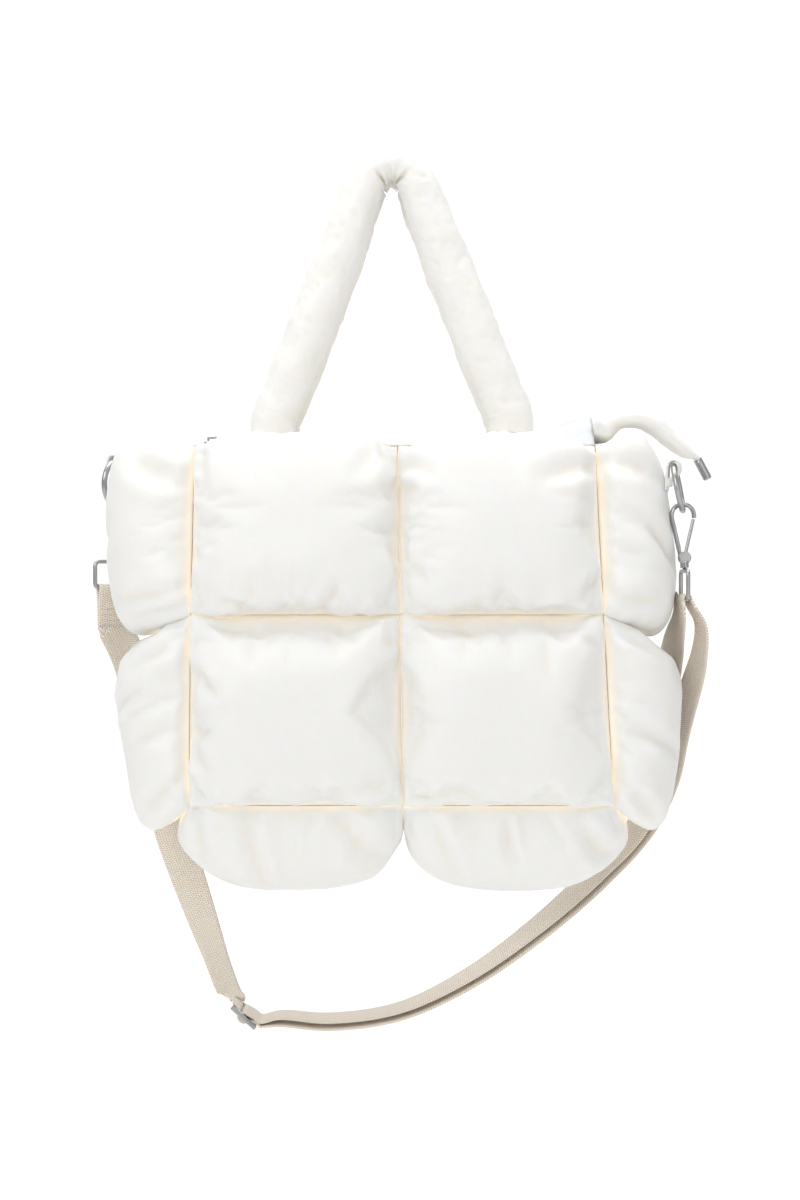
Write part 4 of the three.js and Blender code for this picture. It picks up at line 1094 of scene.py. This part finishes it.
def on_slider(along, rise):
    """A place beside the strap slider's middle, along it and over it."""
    return SLIDER_PLACE + SLIDER_ALONG * along + SLIDER_UP * rise


def arc(count, start, end):
    """Even angles in radians, from start to end in degrees."""
    return [math.radians(mix(start, end, i / count)) for i in range(count + 1)]


def run_sections(places, turns, steps):
    """Sections along a run: places, and the width's direction, Y turned towards the bag."""
    places = np.asarray(places)
    table = np.column_stack([places, turns])
    path = smooth_path(table, steps)
    centre = path[:, :3]
    inward = unit(np.cross(vec(0, 1, 0), tangents(centre)))
    turn = np.radians(path[:, 3])[:, None]
    across = vec(0, 1, 0) * np.cos(turn) + inward * np.sin(turn)
    return [(centre[i], across[i]) for i in range(len(centre))]


def strap_sections():
    """The strap's sections in order, with the index at which its sewn end starts.

    Each is a place and the width's direction there. They run from the slider's bar over the
    second layer to the right loop, back in the first, through the slider and on to the left loop.
    """
    sections = []

    def add(places, across):
        sections.extend((place, across) for place in places)

    y = vec(0, 1, 0)
    up = vec(0, 0, 1)
    add([on_slider(OVER_BAR * math.cos(a), OVER_BAR * math.sin(a)) for a in arc(18, 350, 80)], y)
    hanging = np.array([strap_place(row) for row in HANGING_ROWS])
    along = tangents(hanging)
    along[1:-1] = unit(hanging[2:] - hanging[:-2])
    beside = [hanging[i] + unit(np.cross(y, along[i])) * LAYER_SPREAD
              for i in range(len(hanging) - 1, DOUBLED_FROM - 1, -1)]
    right, left = GEAR["right"], GEAR["left"]
    turn = LOOP_WIRE + GAP + STRAP_THICK / 2
    second = [
        on_slider(SLIDER_BAR * 0.55, OVER_BAR + LAYER * 0.75),
        on_slider(SLIDER_BAR * 1.1, OVER_BAR + LAYER),
        *beside,
        *[strap_place(row) for row in SECOND_ROWS],
        right.bar - right.through * turn - up * 2,
    ]
    back_turns = [-row[3] for row in HANGING_ROWS[DOUBLED_FROM:][::-1]]
    sections.extend(run_sections(second, [0, 0, *back_turns, *[row[3] for row in SECOND_ROWS], -3], 150))
    over = [right.bar + right.through * turn * math.cos(a) + up * turn * math.sin(a) for a in arc(12, 180, 0)]
    add(over, right.across)
    leaving = right.bar + right.through * (turn + 1.5) - up * 4
    first = [leaving, *hanging, on_slider(SLIDER_BAR * 1.35, OVER_BAR - 0.4)]
    sections.extend(run_sections(first, [3, *[row[3] for row in HANGING_ROWS], 0], 170))
    bend = OVER_BAR + LAYER
    add([on_slider(SLIDER_BAR, OVER_BAR), on_slider(SLIDER_BAR * 0.72, OVER_BAR - 0.9)], y)
    add([on_slider(bend * math.cos(a), bend * math.sin(a)) for a in arc(12, 0, -180)], y)
    add([on_slider(-SLIDER_BAR * 0.72, OVER_BAR - 0.9), on_slider(-SLIDER_BAR, OVER_BAR)], y)

    def at_left(through, rise):
        return left.bar + left.through * through + up * rise

    single = [on_slider(-SLIDER_BAR * 1.35, OVER_BAR), *[strap_place(row) for row in SINGLE_ROWS],
              at_left(-LAYER / 2, -SEWN_TAIL)]
    sections.extend(run_sections(single, [0, *[row[3] for row in SINGLE_ROWS], 53], 110))
    add([at_left(-LAYER / 2, -SEWN_TAIL * 0.4)], left.across)
    add([at_left(turn * math.cos(a), turn * math.sin(a)) for a in arc(12, 180, 0)], left.across)
    sewn_from = len(sections)
    add([at_left(LAYER / 2, -SEWN_TAIL * t) for t in (0.3, 0.4, 0.55, 0.7, 0.85, 1)], left.across)
    return sections, sewn_from


def band_frames(sections):
    """Places of a band, and its directions along, across and out of its face."""
    places = np.array([place for place, _ in sections])
    across = np.array([across for _, across in sections])
    along = np.empty_like(places)
    along[1:-1] = unit(places[2:] - places[:-2])
    along[0], along[-1] = unit(places[1] - places[0]), unit(places[-1] - places[-2])
    across = unit(across - along * np.einsum("ij,ij->i", across, along)[:, None])
    return places, along, across, np.cross(along, across)


def band_object(name, sections, width, thick, columns=8):
    """A flat woven band with rounded edges; UVs run along and across it in metres."""
    places, _, across, out = band_frames(sections)
    side = np.linspace(-1, 1, columns + 1)
    low = np.stack([side * width / 2, np.full_like(side, -thick / 2)], axis=-1)
    edge = np.array([[width / 2 + thick * 0.12, 0.0]])
    profile = np.vstack([low, edge, low[::-1] * (1, -1), -edge])
    rings = (places[:, None] + across[:, None] * profile[None, :, 0:1] + out[:, None] * profile[None, :, 1:2])
    obj = rings_object(name, rings)
    around = np.concatenate([side, [1.05], side[::-1], [-1.05]]) * width / 2
    uvs = np.stack(np.meshgrid(lengths_along(places), around, indexing="ij"), axis=-1)
    set_uvs(obj.data, uvs.reshape(-1, 2) * MM)
    return obj


# Steel

RING_RADIUS, RING_WIRE, CAP_LENGTH = 15.5, 2.0, 16


def rounded_copy(name, node, voxel=0.36, passes=7):
    """A rounded, evenly meshed form of a CAD piece."""
    obj = merged_copy(name, node)
    applied(obj, ("REMESH", {"mode": "VOXEL", "voxel_size": voxel * MM}),
            ("SMOOTH", {"factor": 0.5, "iterations": passes}))
    return obj


def ring_object(name, node):
    """A round ring in the plane where the CAD ring lies."""
    points = points_of(node_mesh(node)) / MM
    centre = (points.min(axis=0) + points.max(axis=0)) / 2
    centre = points.mean(axis=0) * 0.5 + centre * 0.5
    _, _, axes = np.linalg.svd(points - points.mean(axis=0), full_matrices=False)
    angle = np.linspace(0, 2 * np.pi, 96, endpoint=False)[:, None]
    path = centre + axes[0] * RING_RADIUS * np.cos(angle) + axes[1] * RING_RADIUS * np.sin(angle)
    rings = oval_rings(path, axes[2], RING_WIRE, RING_WIRE, 20, closed=True)
    return rings_object(name, rings, closed=True)


def cap_object(name):
    """The turned cap on the tail's tip, with a rolled mouth and a rounded end."""
    lean = math.radians(CAP_LEAN)
    aim = vec(math.sin(lean), 0, -math.cos(lean))
    tip = vec(ZIP_RIGHT + GAP + TAIL_LENGTH, 0, float(zip_line(RIGHT_SEAM)) - TAIL_DROP)
    bore = CAP_RADIUS - CAP_WALL
    mouth = tip - aim * CAP_MOUTH
    # radius, and how far from the mouth: the bore, the rolled mouth, a groove, the side and the end
    profile = [(0.0, CAP_MOUTH + GAP), (bore, CAP_MOUTH + GAP), (bore, 0.25), (bore + 0.2, 0.0)]
    profile += [(CAP_RADIUS - 0.15, 0.0), (CAP_RADIUS, 0.2), (CAP_RADIUS, 1.3)]
    profile += [(CAP_RADIUS - 0.18, 1.55), (CAP_RADIUS - 0.18, 1.9), (CAP_RADIUS, 2.15)]
    profile += [(CAP_RADIUS, mix(2.5, CAP_LENGTH - 1.6, t)) for t in np.linspace(0, 1, 6)]
    end = 1.4
    profile += [(CAP_RADIUS - end + end * math.cos(a), CAP_LENGTH - end + end * math.sin(a))
                for a in np.radians([15, 35, 55, 75, 90])]
    profile += [(0.0, CAP_LENGTH)]
    side = vec(0, 1, 0)
    front = np.cross(aim, side)
    sides = 40
    angle = 2 * np.pi * np.arange(sides) / sides
    around = side * np.cos(angle)[:, None] + front * np.sin(angle)[:, None]
    return rings_object(name, [mouth + aim * along + around * max(r, 0.02) for r, along in profile])


# What repeats: teeth and stitches

STITCH_INSET = 2.2
# Length, width and height of a stitch and of a tooth, in millimetres.
STITCH_SIZE = (1.7, 0.45, 0.4)
TOOTH_SIZE = (1.25, 2.9, CHAIN_THICK * 0.98)


def repeat_tree():
    """Rounded blocks along lines; Spacing, Size and Finish are its inputs."""
    tree = bpy.data.node_groups.new("blocks along lines", "GeometryNodeTree")
    sockets = {}
    inputs = (
        ("Geometry", "NodeSocketGeometry", None),
        ("Spacing", "NodeSocketFloat", 0.002),
        ("Size", "NodeSocketVector", (0.001, 0.001, 0.001)),
        ("Finish", "NodeSocketMaterial", None),
    )
    for label, kind, default in inputs:
        socket = tree.interface.new_socket(label, in_out="INPUT", socket_type=kind)
        if default is not None:
            socket.default_value = default
        sockets[label] = socket.identifier
    tree.interface.new_socket("Geometry", in_out="OUTPUT", socket_type="NodeSocketGeometry")
    add = tree.nodes.new
    link = tree.links.new
    given = add("NodeGroupInput")
    lines = add("GeometryNodeMeshToCurve")
    link(given.outputs["Geometry"], lines.inputs[0])
    even = add("GeometryNodeResampleCurve")
    even.mode = "LENGTH"
    link(lines.outputs[0], even.inputs["Curve"])
    link(given.outputs["Spacing"], even.inputs["Length"])
    heading = add("GeometryNodeInputTangent")
    up = add("GeometryNodeInputNamedAttribute")
    up.data_type = "FLOAT_VECTOR"
    up.inputs["Name"].default_value = "up"
    first = add("FunctionNodeAlignRotationToVector")
    first.axis = "X"
    link(heading.outputs[0], first.inputs["Vector"])
    second = add("FunctionNodeAlignRotationToVector")
    second.axis = "Z"
    second.pivot_axis = "X"
    link(first.outputs[0], second.inputs["Rotation"])
    link(up.outputs[0], second.inputs["Vector"])
    block = add("GeometryNodeMeshUVSphere")
    block.inputs["Segments"].default_value = 8
    block.inputs["Rings"].default_value = 5
    block.inputs["Radius"].default_value = 0.5
    placed = add("GeometryNodeInstanceOnPoints")
    link(even.outputs[0], placed.inputs["Points"])
    link(block.outputs["Mesh"], placed.inputs["Instance"])
    link(second.outputs[0], placed.inputs["Rotation"])
    link(given.outputs["Size"], placed.inputs["Scale"])
    solid = add("GeometryNodeRealizeInstances")
    link(placed.outputs[0], solid.inputs[0])
    finish = add("GeometryNodeSetMaterial")
    link(solid.outputs[0], finish.inputs["Geometry"])
    link(given.outputs["Finish"], finish.inputs["Material"])
    result = add("NodeGroupOutput")
    link(finish.outputs[0], result.inputs[0])
    return tree, sockets


def repeated(name, lines, spacing, size, material):
    """One mesh of blocks along lines, each a list of (place, up) in millimetres."""
    points, edges, ups = [], [], []
    for line in lines:
        start = len(points)
        points.extend(tuple(p * MM) for p, _ in line)
        ups.extend(tuple(u) for _, u in line)
        edges.extend((start + i, start + i + 1) for i in range(len(line) - 1))
    mesh = bpy.data.meshes.new(name)
    mesh.from_pydata(points, edges, [])
    attribute = mesh.attributes.new("up", "FLOAT_VECTOR", "POINT")
    attribute.data.foreach_set("vector", np.asarray(ups, dtype=float).ravel())
    obj = bpy.data.objects.new(name, mesh)
    bpy.context.scene.collection.objects.link(obj)
    tree, sockets = repeat_tree()
    modifier = obj.modifiers.new("blocks", "NODES")
    modifier.node_group = tree
    modifier[sockets["Spacing"]] = spacing * MM
    modifier[sockets["Size"]] = tuple(s * MM for s in size)
    modifier[sockets["Finish"]] = material
    return applied(obj)


def stitch_row(sections, index, rise):
    """A line across the strap for its stitches, at rise over its middle layer."""
    places, _, across, out = band_frames(sections)
    half = STRAP_WIDTH / 2 - STITCH_INSET
    return [(places[index] + across[index] * t * half + out[index] * rise, out[index])
            for t in np.linspace(-1, 1, 9)]


# Settings


def length_property(name, description, default):
    return bpy.props.FloatProperty(
        name=name, description=description, default=default, unit="LENGTH", subtype="DISTANCE", precision=4)


def color_property(name, description, default):
    return bpy.props.FloatVectorProperty(
        name=name, description=description, default=default, subtype="COLOR", min=0.0, max=1.0)


def share_property(name, description, default, low, high):
    return bpy.props.FloatProperty(
        name=name, description=description, default=default, min=low, max=high, subtype="FACTOR")


def amount_property(name, description, default, high):
    return bpy.props.FloatProperty(name=name, description=description, default=default, min=0.0, max=high)


def count_property(name, description, default, low):
    return bpy.props.IntProperty(name=name, description=description, default=default, min=low, max=80)


class BAG_PG_chambers(bpy.types.PropertyGroup):
    mesh_count: count_property("Mesh", "Faces along each side of a chamber's cover", 44, 12)
    loft: share_property("Loft", "Share of the full height from which a chamber is blown up", 0.9, 0.3, 1.0)
    slack: share_property("Slack", "Spare cloth sewn into a chamber's cover", 0.06, 0.0, 0.3)
    pressure: amount_property("Filling", "Pressure of the wadding on the cover", 8.0, 30.0)
    stiffness: amount_property("Stiffness", "How stiffly the cover bends", 0.12, 10.0)
    frames: count_property("Steps", "Steps over which the chambers fill", 24, 2)
    cap: length_property(
        "Most movement", "How far the filling may move a point from the chamber's plain shape", 0.009)
    pleat: length_property("Pleats", "How far the cloth puckers along the seams", 0.0022)
    cloth: color_property("Cloth", "Colour of the nylon", (0.855, 0.85, 0.83))
    # the crease colour is painted shade: the warmer, darker colour put into hollows and along seams
    crease: color_property("Crease", "Colour of the nylon deep in a crease", (0.85, 0.755, 0.61))


class BAG_PG_handles(bpy.types.PropertyGroup):
    wrinkle: length_property("Wrinkles", "How far the cloth of the handles puckers", 0.0014)


class BAG_PG_zip(bpy.types.PropertyGroup):
    wave: length_property("Waves", "How far the top panels wave up and down", 0.0016)
    tooth_spacing: length_property("Tooth spacing", "From one zip tooth to the next", 0.0023)
    tape: color_property("Tape", "Colour of the zip's tapes and teeth", (0.8, 0.76, 0.68))


class BAG_PG_strap(bpy.types.PropertyGroup):
    warm: color_property("Webbing", "Colour of the webbing's ribs", (1.0, 0.95, 0.87))
    shade: color_property("Between ribs", "Colour between the ribs", (0.66, 0.52, 0.37))
    rib: length_property("Ribs", "From one rib to the next", 0.0017)
    stitch: length_property("Stitches", "From one stitch to the next", 0.0022)


class BAG_PG_steel(bpy.types.PropertyGroup):
    bright: color_property("Steel", "Colour of the polished steel", (0.5, 0.5, 0.5))
    dark: color_property("Tarnish", "Colour of the steel where it has dulled", (0.26, 0.26, 0.27))
    rough: share_property("Roughness", "How brushed the steel is", 0.18, 0.02, 1.0)


class BAG_PG_stage(bpy.types.PropertyGroup):
    floor_below: length_property("Floor", "How far the floor lies under the fold of the handles", 0.95)
    light: amount_property("Light", "Strength of the studio lights", 1.0, 10.0)


# Operators

FINISHES = {}


def finish_of(name):
    """The materials, made once from the settings."""
    if name in FINISHES:
        return FINISHES[name]
    scene = bpy.context.scene
    chambers, strap, metal = scene.bag_chambers, scene.bag_strap, scene.bag_steel
    tape = scene.bag_zip.tape
    makers = {
        "nylon": lambda: nylon("off-white nylon", chambers.cloth, chambers.crease),
        "nylon_lining": lambda: nylon("nylon strips", chambers.cloth, chambers.crease, 0.5),
        "webbing": lambda: ribbed_webbing("webbing", strap.warm, strap.shade, strap.rib),
        "thread": lambda: tape_cloth("thread", (0.7, 0.6, 0.47), (0.55, 0.45, 0.33)),
        "tape": lambda: tape_cloth("zip tape", tape, [c * 0.85 for c in tape]),
        "steel": lambda: steel("polished steel", metal.bright, metal.dark, metal.rough),
        "brushed": lambda: steel("brushed steel", metal.bright, metal.dark, metal.rough + 0.12),
    }
    FINISHES[name] = makers[name]()
    return FINISHES[name]


class BAG_OT_chambers(bpy.types.Operator):
    """Makes the stuffed chambers of the front, back, sides and base"""

    bl_idname = "bag.chambers"
    bl_label = "Stuffed chambers"

    def execute(self, context):
        settings = context.scene.bag_chambers
        jobs = []
        for node, puff in all_puffs().items():
            name = node.replace("puff", "chamber")
            obj, u, v = puff_mesh(name, puff, settings.mesh_count, settings.loft)
            jobs.append((obj, puff, u, v, node))
        stuff([job[:4] for job in jobs], settings)
        for obj, puff, u, v, node in jobs:
            gather(obj, node, puff, u, v, in_mm(settings.pleat))
            keep_seam_sharp(obj)
            obj.vertex_groups.clear()
            applied(obj, ("SUBSURF", {"levels": 1, "render_levels": 1}))
            mark_creases(obj)
            own(obj, finish_of("nylon"), "puffer_cloth", node)
        return {"FINISHED"}


class BAG_OT_handles(bpy.types.Operator):
    """Makes the two padded handles, folded over at the top"""

    bl_idname = "bag.handles"
    bl_label = "Handles"

    def execute(self, context):
        wrinkle = in_mm(context.scene.bag_handles.wrinkle)
        for name, face in (("front", -1), ("back", 1)):
            obj = handle_object(f"padded_handle_{name}", face, wrinkle)
            mark_creases(obj, 0.95)
            own(obj, finish_of("nylon"), "puffer_cloth", f"handle_{name}")
        return {"FINISHED"}


class BAG_OT_top(bpy.types.Operator):
    """Makes the strips beside the zip, its tapes and its chain of teeth"""

    bl_idname = "bag.top"
    bl_label = "Top and zip"

    def execute(self, context):
        settings = context.scene.bag_zip
        wave = in_mm(settings.wave)
        # past the zip's ends the strips run on to the sides' seams
        ends = {
            "left": (LEFT_SEAM - SIDE_REACH * SIDE_SEAMS["left"]["rim"][0] + GAP * 4, STRIP_LEFT - GAP),
            "right": (ZIP_RIGHT + GAP, RIGHT_SEAM + SIDE_REACH * SIDE_SEAMS["right"]["rim"][0] - GAP * 4),
        }
        strip_span, zip_span = (STRIP_LEFT, ZIP_RIGHT), (STRIP_LEFT + GAP, ZIP_RIGHT)
        for name, side in (("front", -1), ("back", 1)):
            seam, inner, middle = beside_seam(side), beside_zip(side * STRIP_INNER), past_zip(side)
            strip = strip_object(f"top_strip_{name}", strip_span, seam, inner, PANEL_THICK, 120, 14, wave)
            mark_creases(strip)
            own(strip, finish_of("nylon_lining"), "puffer_cloth", f"top_panel_{name}")
            far, near = beside_zip(side * (TAPE_INNER + TAPE_WIDTH)), beside_zip(side * TAPE_INNER)
            tape = strip_object(f"woven_tape_{name}", zip_span, far, near, TAPE_THICK, 90, 6, 0.25)
            own(tape, finish_of("tape"), "zip_cloth", f"zip_tape_{name}")
            for hand, span in ends.items():
                end = strip_object(f"strip_end_{name}_{hand}", span, seam, middle, PANEL_THICK, 24, 10, 0.3)
                mark_creases(end)
                own(end, finish_of("nylon_lining"), "puffer_cloth")
        low, high = [beside_zip(side * CHAIN_WIDTH / 2 * 0.92) for side in (-1, 1)]
        core = strip_object("zip_core", zip_span, low, high, CHAIN_THICK * 0.45, 90, 4, 0)
        own(core, finish_of("tape"), "zip_cloth", "zip_chain")
        spacing = in_mm(settings.tooth_spacing)
        lines = []
        for side in (-1, 1):
            x = np.arange(STRIP_LEFT + 1.5 + (side > 0) * spacing / 2, ZIP_RIGHT - 1.2, spacing / 2)
            level = zip_line(x)
            lines.append([(vec(x[i], side * 1.15, level[i]), vec(0, 0, 1)) for i in range(len(x))])
        teeth = repeated("zip_teeth", lines, spacing, TOOTH_SIZE, finish_of("tape"))
        own(teeth, finish_of("tape"), "zip_cloth")
        return {"FINISHED"}


class BAG_OT_tail(bpy.types.Operator):
    """Makes the padded tail of the zip and its steel cap"""

    bl_idname = "bag.tail"
    bl_label = "Zip tail"

    def execute(self, context):
        tail = tail_object("padded_tail")
        mark_creases(tail, 0.9)
        own(tail, finish_of("nylon"), "puffer_cloth", "zip_tail")
        own(cap_object("tail_cap_polished"), finish_of("steel"), "steel", "zip_tail_cap")
        return {"FINISHED"}


class BAG_OT_strap(bpy.types.Operator):
    """Makes the shoulder strap of ribbed webbing with its sewn end"""

    bl_idname = "bag.strap"
    bl_label = "Shoulder strap"

    def execute(self, context):
        settings = context.scene.bag_strap
        sections, sewn_from = strap_sections()
        obj = band_object("woven_strap", sections, STRAP_WIDTH, STRAP_THICK)
        own(obj, finish_of("webbing"), "webbing", "strap")
        end = sections[sewn_from:]
        rise = STRAP_THICK / 2 + 0.12
        rows = [stitch_row(end, index, side * rise) for side in (-1, 1) for index in (2, 3, 4)]
        stitches = repeated("strap_stitches", rows, in_mm(settings.stitch), STITCH_SIZE, finish_of("thread"))
        own(stitches, finish_of("thread"), "webbing")
        own(rounded_copy("strap_buckle", "strap_slider"), finish_of("steel"), "steel", "strap_slider")
        return {"FINISHED"}


class BAG_OT_gear(bpy.types.Operator):
    """Makes the tabs, rings, hooks, gates and strap loops at both sides"""

    bl_idname = "bag.gear"
    bl_label = "Strap gear"

    def execute(self, context):
        for hand in ("left", "right"):
            tab = rounded_copy(f"sewn_tab_{hand}", f"tab_{hand}", 0.6, 5)
            mark_creases(tab, 0.5)
            own(tab, finish_of("nylon"), "puffer_cloth", f"tab_{hand}")
            ring = ring_object(f"round_ring_{hand}", f"ring_{hand}")
            own(ring, finish_of("brushed"), "steel", f"ring_{hand}")
            hook = rounded_copy(f"swivel_hook_{hand}", f"hook_{hand}")
            own(hook, finish_of("steel"), "steel", f"hook_{hand}")
            gate = rounded_copy(f"hook_gate_{hand}", f"gate_{hand}", 0.22, 18)
            own(gate, finish_of("brushed"), "steel", f"gate_{hand}", body=f"gate_{hand}")
            loop = rounded_copy(f"square_loop_{hand}", f"strap_loop_{hand}")
            own(loop, finish_of("brushed"), "steel", f"strap_loop_{hand}")
        return {"FINISHED"}


class BAG_OT_zip_pull(bpy.types.Operator):
    """Makes the zip's slider and puller"""

    bl_idname = "bag.zip_pull"
    bl_label = "Zip slider and puller"

    def execute(self, context):
        pieces = (("zip_slider_body", "zip_slider", 5), ("zip_puller_plate", "zip_puller", 4))
        for name, node, passes in pieces:
            own(rounded_copy(name, node, 0.28, passes), finish_of("steel"), "steel", node)
        return {"FINISHED"}


class BAG_OT_stage(bpy.types.Operator):
    """Makes the pale floor, the soft lights and the camera at the photo's angle"""

    bl_idname = "bag.stage"
    bl_label = "Stage, lights and camera"

    def execute(self, context):
        settings = context.scene.bag_stage
        low = -settings.floor_below
        flat_to, bend = 1.0, 0.9
        profile = [(-2.6, low), (-1.2, low), (0.2, low), (flat_to, low)]
        profile += [(flat_to + bend * math.sin(a), low + bend - bend * math.cos(a))
                    for a in np.radians(range(6, 91, 6))]
        profile += [(flat_to + bend, low + 2.0), (flat_to + bend, low + 3.2)]
        points = [(in_mm(x), in_mm(y), in_mm(z)) for x in (-3.2, 3.2) for y, z in profile]
        n = len(profile)
        floor = new_object("studio_floor", points, [(i, n + i, n + i + 1, i + 1) for i in range(n - 1)])
        floor.data.materials.append(plain("studio floor", (0.93, 0.93, 0.925), 0.9))
        world = bpy.data.worlds.new("studio")
        world.use_nodes = True
        world.node_tree.nodes["Background"].inputs["Color"].default_value = (1.0, 1.0, 1.0, 1.0)
        world.node_tree.nodes["Background"].inputs["Strength"].default_value = 0.55
        context.scene.world = world
        bag_middle, backdrop = (0.0, 0.0, -0.3), (0.0, 1.9, 0.1)
        # place, what it shines at, size in metres and power in watts
        lights = (
            ("window", (-0.9, -1.7, 0.7), bag_middle, 1.2, 13.5),
            ("fill", (1.0, -1.8, -0.1), bag_middle, 1.6, 4.5),
            ("top", (0.1, -0.1, 1.5), bag_middle, 1.2, 3.0),
            ("backdrop wash", (0.0, 0.45, 1.9), backdrop, 2.4, 42.0),
        )
        for name, spot, target, size, power in lights:
            light = bpy.data.lights.new(name, "AREA")
            light.size = size
            light.energy = power * settings.light
            lamp = bpy.data.objects.new(name, light)
            lamp.location = spot
            lamp.rotation_euler = (Vector(target) - Vector(spot)).to_track_quat("-Z", "Y").to_euler()
            context.scene.collection.objects.link(lamp)
        camera = bpy.data.cameras.new("photo camera")
        camera.lens = 54.03
        camera.sensor_width = 36
        camera.sensor_fit = "AUTO"
        camera.clip_start = 0.02
        view = bpy.data.objects.new("photo camera", camera)
        view.location = (0.0055, -1.25, -0.2887)
        view.rotation_euler = (math.pi / 2, 0, 0)
        context.scene.collection.objects.link(view)
        context.scene.camera = view
        context.scene.view_settings.view_transform = "Standard"
        return {"FINISHED"}


STEPS = (
    BAG_OT_stage, BAG_OT_strap, BAG_OT_chambers, BAG_OT_handles, BAG_OT_top, BAG_OT_tail, BAG_OT_gear,
    BAG_OT_zip_pull,
)


class BAG_PT_panel(bpy.types.Panel):
    """The bag's settings and pieces"""

    bl_idname = "BAG_PT_panel"
    bl_label = "Puffer tote bag"
    bl_space_type = "VIEW_3D"
    bl_region_type = "UI"
    bl_category = "Puffer bag"

    def draw(self, context):
        for key in GROUPS:
            group = getattr(context.scene, key)
            box = self.layout.box()
            for name in group.bl_rna.properties.keys():
                if name not in {"rna_type", "name"}:
                    box.prop(group, name)
        for step in STEPS:
            self.layout.operator(step.bl_idname)


GROUPS = {
    "bag_chambers": BAG_PG_chambers,
    "bag_handles": BAG_PG_handles,
    "bag_zip": BAG_PG_zip,
    "bag_strap": BAG_PG_strap,
    "bag_steel": BAG_PG_steel,
    "bag_stage": BAG_PG_stage,
}


def register():
    for cls in (*GROUPS.values(), *STEPS, BAG_PT_panel):
        bpy.utils.register_class(cls)
    for key, cls in GROUPS.items():
        setattr(bpy.types.Scene, key, bpy.props.PointerProperty(type=cls))


def unregister():
    for key in GROUPS:
        delattr(bpy.types.Scene, key)
    for cls in (BAG_PT_panel, *reversed(STEPS), *reversed(tuple(GROUPS.values()))):
        bpy.utils.unregister_class(cls)


def main():
    register()
    bpy.ops.bag.stage()
    bpy.ops.bag.strap()
    bpy.ops.bag.chambers()
    bpy.ops.bag.handles()
    bpy.ops.bag.top()
    bpy.ops.bag.tail()
    bpy.ops.bag.gear()
    bpy.ops.bag.zip_pull()


if __name__ == "__main__":
    main()
